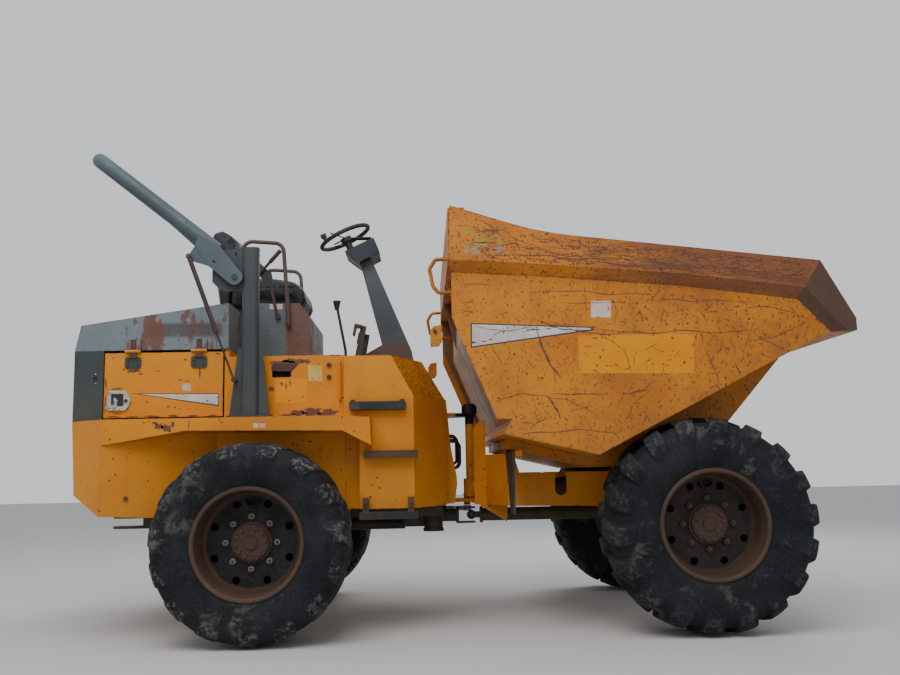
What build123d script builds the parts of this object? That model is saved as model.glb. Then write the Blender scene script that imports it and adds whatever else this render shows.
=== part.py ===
from build123d import *
import math
import os

# Articulated site dumper: straight-tipping skip in front, seat over the engine behind.
# Millimetres. +X points forward, +Y to the machine's left, +Z up. The origin lies on the ground,
# on the centre line, under the middle of the overall length.

# Running gear
WHEELBASE = 2458.0
PIVOT_X = 109.0
PIVOT_REACH = WHEELBASE / 2
OVERALL_WIDTH = 2430.0
TYRE_WIDTH = 455.0
FRONT_TYRE_R = 577.0
REAR_TYRE_R = 532.0
FRONT_LUG_HEIGHT = 30.0
REAR_LUG_HEIGHT = 9.0
LUG_PAIRS = 18
RIM_R = 285.0
RIM_FLANGE_R = 298.5
RIM_WALL = 10.0
RIM_HALF_WIDTH = 205.0
STUD_CIRCLE_R = 137.5
STUD_COUNT = 8
DISC_OFFSET = 22.0
DISC_THICKNESS = 14.0
DISC_HOLE_CIRCLE_R = 215.0
DISC_HOLE_R = 21.0
HUB_R = 108.0
HUB_REACH = 78.0
HUB_DEPTH = 62.0
AXLE_TUBE_R = 82.0
BRAKE_DRUM_R = 165.0

REAR_AXLE_X = PIVOT_X - WHEELBASE / 2
FRONT_AXLE_X = PIVOT_X + WHEELBASE / 2
WHEEL_Y = OVERALL_WIDTH / 2 - TYRE_WIDTH / 2

# Fits and play
PAINT_GAP = 0.3
RUN_GAP = 6.0

# Rear body, measured forward from the rear axle
FENDER_INSET = 235.0
FENDER_Y = OVERALL_WIDTH / 2 - FENDER_INSET
WELL_GAP = 15.0
WELL_Y = OVERALL_WIDTH / 2 - TYRE_WIDTH - WELL_GAP
SHELF_TOP = 1204.0
SHELF_LOW = 1128.0
TAIL_X = -1056.0
TAIL_Y = 800.0
CREASE_X = -834.0
BODY_BOTTOM = 665.0
DECK_BOTTOM = 687.0
SEAM_X = 479.0
ARCH_FRONT_X = 565.0
RUN_IN_X = -250.0
ARCH_GAP = 38.0

# Engine bay and hood
BAY_Y = 797.0
SHEET = 6.0
HOOD_BOTTOM = 1606.0
TANK_TOP = 1562.0
HOOD_REAR_TOP = 1754.0
HOOD_TOP = 1875.0
HOOD_FRONT_X = -184.0
COOLER_FRONT_X = -890.0
DOOR_REAR_X = -884.0
DOOR_FRONT_X = -208.0
DOOR_BOTTOM = 1222.0
DOOR_TOP = 1592.0
DOOR_HINGE_R = 9.0
DOOR_HINGE_Y = BAY_Y + DOOR_HINGE_R + 3
DOOR_HINGE_Z = 1600.0
DOOR_HINGES = (-724, -350)
SEAT_BOX_Y = 390.0
SEAT_BOX_TOP = 1945.0
SEAT_BOX_FRONT_X = 240.0

# Operator's deck
DECK_Z = 1548.0
DECK_Y = 860.0
NOSE_GAP = 170.0
NOSE_X = PIVOT_REACH - NOSE_GAP
DECK_FRONT_X = NOSE_X - 137.0
NOSE_Y = 480.0
CORNER_TOP_X = NOSE_X - 311.0
CORNER_X = NOSE_X - 187.0
CORNER_Z = 1315.0

# Folding frame over the operator
POST_X = -50.0
POST_LENGTH = 93.0
POST_Y = 848.0
POST_WIDTH = 80.0
POST_TOP = 2182.0
FOLD_X = -135.0
FOLD_Z = 2005.0
FOLD_ANGLE = 51.5
HOOP_TUBE_R = 43.0
HOOP_LENGTH = 1156.0
HOOP_RACK = 74.0
HOOP_OFFSET = 62.0
HOOP_BEND_R = 140.0
FOLD_PLATE = 12.0
FOLD_PIN_R = 16.0
STRUT_TOP_U = 272.0
STRUT_TOP_V = -67.0
STRUT_FOOT_X = -128.0
STRUT_FOOT_Z = 1415.0
STRUT_Y = 925.0
STRUT_TUBE_R = 13.0
STRUT_ROD_R = 6.0

# Centre joint
ROLL_Z = 780.0
KING_PIN_R = 20.0
KING_SLEEVE_R = 29.0
KING_LOW = 690.0
KING_HIGH = 1258.0
LUG_THICKNESS = 22.0
LUG_R = 42.0
ROLL_FLANGE_R = 64.0
SHAFT_Z = 606.0
STEER_ARM_X = -15.0
STEER_ARM_Y = 235.0
STEER_Z = 640.0
STEER_FOOT_X = NOSE_X - 274.0
STEER_FOOT_Y = 235.0
STEER_PIN_R = 14.0

# Front frame, measured forward from the front axle
RAIL_Y = 450.0
RAIL_WALL = 20.0
TIP_X = 392.0
TIP_Z = 790.0
TIP_PIN_R = 30.0
HEAD_GAP = 12.0
HEAD_X = HEAD_GAP - PIVOT_REACH
RAM_FOOT_X = HEAD_X + 242.0
RAM_FOOT_Z = 720.0
RAM_HEAD_X = -258.0
RAM_HEAD_Z = 838.0
RAM_BARREL_R = 58.0
RAM_ROD_R = 30.0
RAM_PIN_R = 22.0

# Skip, measured forward from the front axle
SKIP_Y = 1120.0
SKIP_RIM_Y = 1170.0
SKIP_WALL = 8.0
SKIP_RECESS = 80.0
BELLY_GAP = 60.0
BELLY_Y = OVERALL_WIDTH / 2 - TYRE_WIDTH - BELLY_GAP

# Working planes: side views from the machine's right at each axle, and plan views at each axle
REAR_SIDE = Plane(origin=(REAR_AXLE_X, 0, 0), x_dir=(1, 0, 0), z_dir=(0, -1, 0))
FRONT_SIDE = Plane(origin=(FRONT_AXLE_X, 0, 0), x_dir=(1, 0, 0), z_dir=(0, -1, 0))
REAR_PLAN = Plane(origin=(REAR_AXLE_X, 0, 0))
FRONT_PLAN = Plane(origin=(FRONT_AXLE_X, 0, 0))
REAR_CROSS = Plane(origin=(REAR_AXLE_X, 0, 0), x_dir=(0, 1, 0), z_dir=(1, 0, 0))
FRONT_CROSS = Plane(origin=(FRONT_AXLE_X, 0, 0), x_dir=(0, 1, 0), z_dir=(1, 0, 0))

os.makedirs("parts", exist_ok=True)


# Wheels. Each is made with local X pointing out of the machine and local Z up.
def tyre(radius, lug_height):
    """A carcass revolved about the axle with two rows of angled bars round its crown."""
    base_r = radius - lug_height
    half = TYRE_WIDTH / 2
    seat = RIM_HALF_WIDTH - RIM_WALL - PAINT_GAP
    bead_r = RIM_R + PAINT_GAP
    with BuildPart() as carcass:
        with BuildSketch(Plane.XZ):
            with BuildLine():
                Polyline(
                    (-seat, bead_r),
                    (-seat, RIM_FLANGE_R + 3),
                    (-half + 10, 350),
                    (-half, base_r * 0.76),
                    (-half + 10, base_r - 70),
                    (-half + 45, base_r - 12),
                    (half - 45, base_r - 12),
                    (half - 10, base_r - 70),
                    (half, base_r * 0.76),
                    (half - 10, 350),
                    (seat, RIM_FLANGE_R + 3),
                    (seat, bead_r),
                    close=True,
                )
            make_face()
        revolve(axis=Axis.X)
    with BuildPart() as bars:
        for side, phase in ((1, 0.0), (-1, 0.5)):
            with BuildSketch(Plane.XY.offset(base_r - 60)) as footprint:
                with BuildLine():
                    Polyline(
                        (side * 6, -26),
                        (side * (half - 14), 58),
                        (side * (half - 14), 96),
                        (side * 6, 16),
                        close=True,
                    )
                make_face()
            bar = extrude(footprint.sketch, amount=60 + lug_height, mode=Mode.PRIVATE)
            for i in range(LUG_PAIRS):
                add(bar.rotate(Axis.X, 360 * (i + phase) / LUG_PAIRS))
    with BuildPart() as trimmed:
        with BuildSketch(Plane.XZ):
            with BuildLine():
                Polyline(
                    (-half + 14, base_r - 78),
                    (-half + 26, radius - 22),
                    (-half + 60, radius),
                    (half - 60, radius),
                    (half - 26, radius - 22),
                    (half - 14, base_r - 78),
                    close=True,
                )
            make_face()
        revolve(axis=Axis.X)
        add(bars.part, mode=Mode.INTERSECT)
        add(carcass.part)
    return trimmed.part


def rim():
    """Deep-dished rim with its disc, hand holes, studs, valve guard and planetary hub."""
    with BuildPart() as wheel:
        with BuildSketch(Plane.XZ):
            with BuildLine():
                Polyline(
                    (-RIM_HALF_WIDTH, RIM_FLANGE_R),
                    (-RIM_HALF_WIDTH + RIM_WALL, RIM_FLANGE_R),
                    (-RIM_HALF_WIDTH + RIM_WALL, RIM_R),
                    (RIM_HALF_WIDTH - RIM_WALL, RIM_R),
                    (RIM_HALF_WIDTH - RIM_WALL, RIM_FLANGE_R),
                    (RIM_HALF_WIDTH, RIM_FLANGE_R),
                    (RIM_HALF_WIDTH, RIM_R - RIM_WALL),
                    (DISC_OFFSET + DISC_THICKNESS, RIM_R - 2 * RIM_WALL),
                    (DISC_OFFSET + DISC_THICKNESS, 0),
                    (DISC_OFFSET, 0),
                    (DISC_OFFSET, RIM_R - RIM_WALL),
                    (-RIM_HALF_WIDTH, RIM_R - RIM_WALL),
                    close=True,
                )
            make_face()
        revolve(axis=Axis.X)
        with BuildSketch(Plane.YZ.offset(DISC_OFFSET)):
            with PolarLocations(DISC_HOLE_CIRCLE_R, STUD_COUNT, start_angle=22.5):
                Circle(DISC_HOLE_R)
        extrude(amount=DISC_THICKNESS, mode=Mode.SUBTRACT)
        with BuildSketch(Plane.YZ.offset(-HUB_DEPTH)):
            Circle(HUB_R)
        extrude(amount=HUB_DEPTH + HUB_REACH - 22)
        with BuildSketch(Plane.YZ.offset(HUB_REACH - 22)):
            Circle(HUB_R - 14)
        extrude(amount=22)
        chamfer(wheel.faces().sort_by(Axis.X)[-1].edges(), 6)
        with BuildSketch(Plane.YZ.offset(HUB_REACH)):
            Circle(34)
        extrude(amount=9)
        with BuildSketch(Plane.YZ.offset(DISC_OFFSET + DISC_THICKNESS)):
            with PolarLocations(STUD_CIRCLE_R, STUD_COUNT):
                RegularPolygon(17, 6)
        extrude(amount=26)
        guard_start = DISC_OFFSET + DISC_THICKNESS
        with BuildSketch(Plane.YZ.offset(guard_start)):
            with Locations((0, RIM_R - 62)):
                Circle(36)
                Circle(28, mode=Mode.SUBTRACT)
                with Locations((0, 20)):
                    Rectangle(90, 40, mode=Mode.SUBTRACT)
        extrude(amount=40)
    return wheel.part


front_tyre = tyre(FRONT_TYRE_R, FRONT_LUG_HEIGHT)
rear_tyre = tyre(REAR_TYRE_R, REAR_LUG_HEIGHT)
wheel_rim = rim()
for end, axle_x, radius, rubber in (
    ("front", FRONT_AXLE_X, FRONT_TYRE_R, front_tyre),
    ("rear", REAR_AXLE_X, REAR_TYRE_R, rear_tyre),
):
    for side_name, side in (("left", 1), ("right", -1)):
        seat_plane = Plane(
            origin=(axle_x, side * WHEEL_Y, radius), x_dir=(0, side, 0), z_dir=(0, 0, 1)
        )
        for kind, piece in (("tyre", rubber), ("rim", wheel_rim)):
            node = f"{kind}_{end}_{side_name}"
            with BuildPart() as placed:
                add(piece.moved(Location(seat_plane)))
            placed.part.label = node
            export_step(placed.part, f"parts/{node}.step")


# Axles: a straight tube with a differential bowl in the middle and a brake drum at each end.
def axle(centre_x, height, nose):
    """Axle housing across the machine; nose is +1 or -1, the side that the shaft enters."""
    drum_end = WHEEL_Y - HUB_DEPTH - 0.5
    with BuildPart() as housing:
        with BuildSketch(Plane.XZ.offset(-drum_end)):
            with Locations((centre_x, height)):
                Circle(AXLE_TUBE_R)
        extrude(amount=2 * drum_end)
        for side in (1, -1):
            with BuildSketch(Plane.XZ.offset(side * (drum_end - 90))):
                with Locations((centre_x, height)):
                    Circle(BRAKE_DRUM_R)
            extrude(amount=side * 90)
        with BuildSketch(Plane.XZ.offset(-130)):
            with Locations((centre_x, height)):
                Circle(AXLE_TUBE_R + 48)
        extrude(amount=260)
        with BuildSketch(Plane.YZ.offset(centre_x)):
            with Locations((0, height)):
                Circle(70)
        extrude(amount=nose * 205)
    return housing.part


with BuildPart() as rear_axle:
    add(axle(REAR_AXLE_X, REAR_TYRE_R, 1))
rear_axle.part.label = "rear_axle"
export_step(rear_axle.part, "parts/rear_axle.step")

with BuildPart() as front_axle:
    add(axle(FRONT_AXLE_X, FRONT_TYRE_R, -1))
front_axle.part.label = "front_axle"
export_step(front_axle.part, "parts/front_axle.step")

# Rear chassis: two rails under the tub, cross members, axle pads and the bearing plate in front.
CHASSIS_Y = 330.0
CHASSIS_RAIL = 30.0
CHASSIS_LOW = 617.0
with BuildPart() as rear_chassis:
    with BuildSketch(REAR_SIDE.offset(CHASSIS_Y)):
        with BuildLine():
            Polyline(
                (-760, BODY_BOTTOM),
                (-760, CHASSIS_LOW + 20),
                (-700, CHASSIS_LOW),
                (NOSE_X - 19, CHASSIS_LOW),
                (NOSE_X - 19, DECK_BOTTOM),
                (SEAM_X, DECK_BOTTOM),
                (SEAM_X, BODY_BOTTOM),
                close=True,
            )
        make_face()
    extrude(amount=-CHASSIS_RAIL)
    mirror(about=Plane.XZ)
    for x in (-700, -230, 250, 700):
        with BuildSketch(REAR_PLAN.offset(CHASSIS_LOW)):
            with Locations((x, 0)):
                Rectangle(60, 2 * (CHASSIS_Y - CHASSIS_RAIL))
        extrude(amount=BODY_BOTTOM - CHASSIS_LOW)
    pad_low = REAR_TYRE_R + AXLE_TUBE_R + PAINT_GAP
    with BuildSketch(REAR_PLAN.offset(pad_low)):
        with Locations((0, 245), (0, -245)):
            Rectangle(190, 170)
    extrude(amount=BODY_BOTTOM - pad_low)
    for low, high, radius in (
        (STEER_Z + 21, DECK_BOTTOM, 22),
        (STEER_Z - 26, STEER_Z + 21, STEER_PIN_R),
        (STEER_Z - 26, STEER_Z - 21, 20),
    ):
        with BuildSketch(REAR_PLAN.offset(low)):
            with Locations((STEER_FOOT_X, STEER_FOOT_Y)):
                Circle(radius)
        extrude(amount=high - low)
rear_chassis.part.label = "rear_chassis"
export_step(rear_chassis.part, "parts/rear_chassis.step")

# Rear body: the tub between the wheels, the tail across the machine and the fender shelves.
with BuildPart() as rear_body:
    with BuildSketch(REAR_SIDE):
        with BuildLine():
            Polyline(
                (TAIL_X, SHELF_TOP),
                (TAIL_X + 31, 794),
                (CREASE_X, 680),
                (-600, BODY_BOTTOM),
                (RUN_IN_X, BODY_BOTTOM),
                (RUN_IN_X, SHELF_TOP),
                close=True,
            )
        make_face()
    extrude(amount=FENDER_Y, both=True)
    with BuildSketch(REAR_PLAN.offset(BODY_BOTTOM)):
        with BuildLine():
            Polyline(
                (TAIL_X, -TAIL_Y),
                (CREASE_X, -FENDER_Y),
                (RUN_IN_X, -WELL_Y),
                (RUN_IN_X, WELL_Y),
                (CREASE_X, FENDER_Y),
                (TAIL_X, TAIL_Y),
                close=True,
            )
        make_face()
    extrude(amount=SHELF_TOP - BODY_BOTTOM, mode=Mode.INTERSECT)
    for side in (1, -1):
        with BuildSketch(REAR_SIDE.offset(side * WELL_Y)):
            with Locations((0, REAR_TYRE_R)):
                Circle(REAR_TYRE_R + ARCH_GAP)
        extrude(amount=side * (FENDER_Y - WELL_Y), mode=Mode.SUBTRACT)
    with BuildSketch(REAR_SIDE):
        with BuildLine():
            Polyline(
                (-600, SHELF_TOP),
                (-600, BODY_BOTTOM),
                (SEAM_X, BODY_BOTTOM),
                (SEAM_X, SHELF_TOP),
                close=True,
            )
        make_face()
    extrude(amount=WELL_Y, both=True)
    with BuildSketch(REAR_SIDE.offset(WELL_Y)):
        with Locations((RUN_IN_X / 2 + 36, 1066)):
            Rectangle(-RUN_IN_X + 72, 120)
    extrude(amount=-90, mode=Mode.SUBTRACT)
    with BuildSketch(REAR_SIDE.offset(FENDER_Y)):
        with BuildLine():
            Polyline(
                (CREASE_X, SHELF_TOP),
                (CREASE_X, 1060),
                (-378, 1135),
                (SEAM_X, SHELF_LOW - 8),
                (SEAM_X, SHELF_TOP),
                close=True,
            )
        make_face()
    extrude(amount=-(FENDER_Y - WELL_Y))
    with BuildSketch(REAR_SIDE.offset(FENDER_Y)):
        with BuildLine():
            Polyline(
                (SEAM_X, SHELF_TOP),
                (SEAM_X, SHELF_LOW - 8),
                (636, 1037),
                (630, SHELF_TOP - 12),
                close=True,
            )
        make_face()
    extrude(amount=-(FENDER_Y - DECK_Y))
    mirror(about=Plane.XZ)
rear_body.part.label = "rear_body"
export_step(rear_body.part, "parts/rear_body.step")

# Cooler housing: grey box across the tail, open towards the engine, with slots in its back.
with BuildPart() as cooler_housing:
    with BuildSketch(REAR_PLAN.offset(SHELF_TOP)):
        with BuildLine():
            Polyline(
                (TAIL_X, -BAY_Y),
                (COOLER_FRONT_X, -BAY_Y),
                (COOLER_FRONT_X, BAY_Y),
                (TAIL_X, BAY_Y),
                close=True,
            )
        make_face()
    extrude(amount=HOOD_BOTTOM - SHELF_TOP)
    with BuildSketch(REAR_PLAN.offset(SHELF_TOP + SHEET)):
        with Locations(((TAIL_X + SHEET + COOLER_FRONT_X) / 2, 0)):
            Rectangle(COOLER_FRONT_X - TAIL_X - SHEET, 2 * (BAY_Y - SHEET))
    extrude(amount=HOOD_BOTTOM - SHELF_TOP - 2 * SHEET, mode=Mode.SUBTRACT)
    with BuildSketch(REAR_CROSS.offset(TAIL_X)):
        with Locations((0, (SHELF_TOP + HOOD_BOTTOM) / 2)):
            with GridLocations(0, 26, 1, 11):
                SlotOverall(1000, 12)
    extrude(amount=SHEET, mode=Mode.SUBTRACT)
    for side in (1, -1):
        with BuildSketch(REAR_SIDE.offset(side * BAY_Y)):
            with Locations((-935, 1446)):
                Circle(13)
            with Locations((-935, 1476), (-935, 1416)):
                Circle(5)
        extrude(amount=-side * SHEET, mode=Mode.SUBTRACT)
cooler_housing.part.label = "cooler_housing"
export_step(cooler_housing.part, "parts/cooler_housing.step")

with BuildPart() as radiator:
    with BuildSketch(REAR_CROSS.offset(TAIL_X + 40)):
        with Locations((0, SHELF_TOP + SHEET + 165)):
            Rectangle(1040, 330)
    extrude(amount=90)
radiator.part.label = "radiator"
export_step(radiator.part, "parts/radiator.step")

# Engine: one plain block with its sump and top cover, on the tub's floor.
with BuildPart() as engine_block:
    with BuildSketch(REAR_SIDE):
        with BuildLine():
            Polyline(
                (-800, SHELF_TOP),
                (-800, 1560),
                (-740, 1640),
                (-340, 1640),
                (-300, 1500),
                (-300, SHELF_TOP),
                close=True,
            )
        make_face()
    extrude(amount=250, both=True)
engine_block.part.label = "engine_block"
export_step(engine_block.part, "parts/engine_block.step")

# Tank housing: the yellow box on both sides under the seat, with a hand slot in each side.
with BuildPart() as tank_housing:
    with BuildSketch(REAR_PLAN.offset(SHELF_TOP)):
        with Locations(((HOOD_FRONT_X + SEAM_X) / 2, 0)):
            Rectangle(SEAM_X - HOOD_FRONT_X, 2 * BAY_Y)
    extrude(amount=TANK_TOP - SHELF_TOP)
    for side in (1, -1):
        with BuildSketch(REAR_SIDE.offset(side * BAY_Y)):
            with Locations((119, 1476)):
                RectangleRounded(108, 76, 8)
        extrude(amount=-side * 60, mode=Mode.SUBTRACT)
        with BuildSketch(REAR_SIDE.offset(side * BAY_Y)):
            with Locations((390, 1503), (390, 1434)):
                Circle(16)
        extrude(amount=side * 8)
        with BuildLine(REAR_CROSS.offset(452)) as rod_path:
            FilletPolyline(
                (side * (BAY_Y - 1), 1522),
                (side * (BAY_Y + 26), 1522),
                (side * (BAY_Y + 26), 1299),
                (side * (BAY_Y - 1), 1299),
                radius=12,
            )
        with BuildSketch(Plane(origin=rod_path.line @ 0, z_dir=rod_path.line % 0)):
            Circle(6.5)
        sweep(path=rod_path.line)
tank_housing.part.label = "tank_housing"
export_step(tank_housing.part, "parts/tank_housing.step")

# Hood: sloping folded sheet over the engine, open below, resting on the cooler housing.
with BuildPart() as hood:
    with BuildSketch(REAR_SIDE):
        with BuildLine():
            Polyline(
                (TAIL_X, HOOD_BOTTOM),
                (TAIL_X + 31, HOOD_REAR_TOP),
                (HOOD_FRONT_X, HOOD_TOP),
                (HOOD_FRONT_X, HOOD_BOTTOM),
                close=True,
            )
        make_face()
    extrude(amount=BAY_Y, both=True)
    with BuildSketch(REAR_SIDE):
        with BuildLine():
            Polyline(
                (TAIL_X + SHEET, HOOD_BOTTOM),
                (TAIL_X + 31 + SHEET, HOOD_REAR_TOP - SHEET),
                (HOOD_FRONT_X - SHEET, HOOD_TOP - SHEET),
                (HOOD_FRONT_X - SHEET, HOOD_BOTTOM),
                close=True,
            )
        make_face()
    extrude(amount=BAY_Y - SHEET, both=True, mode=Mode.SUBTRACT)
    with BuildSketch(REAR_PLAN.offset(HOOD_BOTTOM)):
        with Locations((HOOD_FRONT_X - 12, 0)):
            Rectangle(24, 2 * (BAY_Y - 14))
    extrude(amount=-(HOOD_BOTTOM - SHELF_TOP))
    for side in (1, -1):
        for x in DOOR_HINGES:
            for dx in (-30, 30):
                with BuildSketch(REAR_CROSS.offset(x + dx - 14.5)):
                    with Locations((side * DOOR_HINGE_Y, DOOR_HINGE_Z)):
                        Circle(DOOR_HINGE_R)
                extrude(amount=29)
                with BuildSketch(REAR_SIDE.offset(-side * BAY_Y)):
                    with Locations((x + dx, 1636)):
                        Rectangle(28, 60)
                extrude(amount=-side * 5)
                with BuildSketch(REAR_SIDE.offset(-side * BAY_Y)):
                    with Locations((x + dx, 1608)):
                        Rectangle(28, 8)
                extrude(amount=-side * 12)
hood.part.label = "hood"
export_step(hood.part, "parts/hood.step")

# Seat box on the tank housing, its front leaning back.
with BuildPart() as seat_box:
    with BuildSketch(REAR_SIDE):
        with BuildLine():
            Polyline(
                (HOOD_FRONT_X, TANK_TOP),
                (HOOD_FRONT_X, SEAT_BOX_TOP),
                (SEAT_BOX_FRONT_X - 70, SEAT_BOX_TOP - 4),
                (SEAT_BOX_FRONT_X - 8, 1857),
                (SEAT_BOX_FRONT_X, TANK_TOP),
                close=True,
            )
        make_face()
    extrude(amount=SEAT_BOX_Y, both=True)
seat_box.part.label = "seat_box"
export_step(seat_box.part, "parts/seat_box.step")

SEAT_HALF = 240.0
SEAT_BACK_X = -300.0
with BuildPart() as seat_cushion:
    with BuildSketch(REAR_SIDE):
        with BuildLine():
            Polyline(
                (SEAT_BACK_X, SEAT_BOX_TOP + PAINT_GAP),
                (SEAT_BACK_X, 2118),
                (-150, 2138),
                (0, 2128),
                (150, 2100),
                (214, 2052),
                (226, 1990),
                (200, SEAT_BOX_TOP + PAINT_GAP),
                close=True,
            )
        make_face()
    extrude(amount=SEAT_HALF, both=True)
    fillet(seat_cushion.faces().sort_by(Axis.Y)[0].edges(), 26)
    fillet(seat_cushion.faces().sort_by(Axis.Y)[-1].edges(), 26)
seat_cushion.part.label = "seat_cushion"
export_step(seat_cushion.part, "parts/seat_cushion.step")

with BuildPart() as seat_back:
    with BuildSketch(REAR_SIDE) as back_side:
        with BuildLine():
            Polyline(
                (SEAT_BACK_X - 52, SEAT_BOX_TOP + PAINT_GAP),
                (SEAT_BACK_X - 72, 2060),
                (-432, 2385),
                (-404, 2452),
                (-352, 2468),
                (-288, 2430),
                (-250, 2343),
                (-240, 2200),
                (-256, 2148),
                (SEAT_BACK_X - PAINT_GAP, 2148),
                (SEAT_BACK_X - PAINT_GAP, SEAT_BOX_TOP + PAINT_GAP),
                close=True,
            )
        make_face()
        fillet(back_side.vertices().sort_by(Axis.Y)[-4:], 26)
    extrude(amount=SEAT_HALF - 10, both=True)
    fillet(seat_back.faces().sort_by(Axis.Y)[0].edges(), 16)
    fillet(seat_back.faces().sort_by(Axis.Y)[-1].edges(), 16)
seat_back.part.label = "seat_back"
export_step(seat_back.part, "parts/seat_back.step")

# Operator's body: deck, sloping corners and the upright front, with the rear wheel arch cut out.
with BuildPart() as operator_body:
    with BuildSketch(REAR_PLAN.offset(DECK_BOTTOM)):
        with BuildLine():
            Polyline(
                (SEAM_X, -DECK_Y),
                (CORNER_X, -DECK_Y),
                (NOSE_X, -NOSE_Y),
                (NOSE_X, NOSE_Y),
                (CORNER_X, DECK_Y),
                (SEAM_X, DECK_Y),
                close=True,
            )
        make_face()
    extrude(amount=CORNER_Z - DECK_BOTTOM)
    with BuildSketch(REAR_PLAN.offset(CORNER_Z)):
        with BuildLine():
            Polyline(
                (SEAM_X, -DECK_Y),
                (CORNER_X, -DECK_Y),
                (NOSE_X, -NOSE_Y),
                (NOSE_X, NOSE_Y),
                (CORNER_X, DECK_Y),
                (SEAM_X, DECK_Y),
                close=True,
            )
        make_face()
    with BuildSketch(REAR_PLAN.offset(DECK_Z)):
        with BuildLine():
            Polyline(
                (SEAM_X, -DECK_Y),
                (CORNER_TOP_X, -DECK_Y),
                (DECK_FRONT_X, -NOSE_Y),
                (DECK_FRONT_X, NOSE_Y),
                (CORNER_TOP_X, DECK_Y),
                (SEAM_X, DECK_Y),
                close=True,
            )
        make_face()
    loft(ruled=True)
    for side in (1, -1):
        with BuildSketch(REAR_SIDE.offset(side * WELL_Y)):
            with BuildLine():
                Polyline(
                    (SEAM_X, 600),
                    (ARCH_FRONT_X, 600),
                    (ARCH_FRONT_X, 1075),
                    (SEAM_X, SHELF_LOW - 8),
                    close=True,
                )
            make_face()
        extrude(amount=side * 200, mode=Mode.SUBTRACT)
operator_body.part.label = "operator_body"
export_step(operator_body.part, "parts/operator_body.step")

# Steps: two treads and a hanging one on each side, each with a folded lip.
STEPS = (
    # rear end and front end back from the nose, top, depth, drop
    (544, 234, 1281, 46, 45),
    (468, 166, 1008, 60, 40),
)
with BuildPart() as steps:
    for rear_back, front_back, top, reach, drop in STEPS:
        rear_x, front_x = NOSE_X - rear_back, NOSE_X - front_back
        for side in (1, -1):
            with BuildSketch(REAR_SIDE.offset(side * DECK_Y)):
                with Locations(((rear_x + front_x) / 2, top - drop / 2)):
                    Rectangle(front_x - rear_x, drop)
            extrude(amount=side * reach)
    for side in (1, -1):
        with BuildSketch(REAR_SIDE.offset(side * DECK_Y)):
            with Locations((NOSE_X - 332, 650)):
                Rectangle(322, 38)
            with Locations((NOSE_X - 459, 690), (NOSE_X - 209, 690)):
                Rectangle(34, 120)
        extrude(amount=side * 46)
steps.part.label = "steps"
export_step(steps.part, "parts/steps.step")

# Nose of the rear frame: upright plates, and two lugs that hold the king pin and its cap.
NOSE_PLATE_Y = 300.0
PIVOT_LOCAL_X = PIVOT_X - REAR_AXLE_X
with BuildPart() as centre_bracket:
    for side in (1, -1):
        with BuildSketch(REAR_SIDE.offset(side * NOSE_PLATE_Y)):
            with BuildLine():
                Polyline(
                    (NOSE_X, 1330),
                    (NOSE_X + 12, 1328),
                    (NOSE_X + 37, 1026),
                    (NOSE_X + 69, 860),
                    (NOSE_X + 72, 806),
                    (NOSE_X + 54, KING_LOW),
                    (NOSE_X, DECK_BOTTOM),
                    close=True,
                )
            make_face()
        extrude(amount=-side * 20)
    with BuildSketch(REAR_CROSS.offset(NOSE_X)):
        with Locations((0, (DECK_BOTTOM + KING_HIGH) / 2)):
            Rectangle(280, KING_HIGH - DECK_BOTTOM)
    extrude(amount=20)
    for low in (KING_LOW, KING_HIGH - LUG_THICKNESS):
        with BuildSketch(REAR_PLAN.offset(low)):
            with BuildLine():
                Polyline(
                    (NOSE_X + 20, -120),
                    (PIVOT_LOCAL_X, -LUG_R),
                    (PIVOT_LOCAL_X, LUG_R),
                    (NOSE_X + 20, 120),
                    close=True,
                )
            make_face()
            with Locations((PIVOT_LOCAL_X, 0)):
                Circle(LUG_R)
        extrude(amount=LUG_THICKNESS)
    with BuildSketch(REAR_PLAN.offset(KING_LOW + LUG_THICKNESS)):
        with Locations((PIVOT_LOCAL_X, 0)):
            Circle(KING_PIN_R)
    extrude(amount=KING_HIGH - KING_LOW - 2 * LUG_THICKNESS)
    with BuildSketch(REAR_PLAN.offset(KING_HIGH)):
        with Locations((PIVOT_LOCAL_X, 0)):
            Circle(50)
    extrude(amount=50)
    with BuildSketch(REAR_PLAN.offset(KING_HIGH + 50)):
        with Locations((PIVOT_LOCAL_X, 0)):
            Circle(39)
    extrude(amount=12)
centre_bracket.part.label = "centre_bracket"
export_step(centre_bracket.part, "parts/centre_bracket.step")

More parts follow.
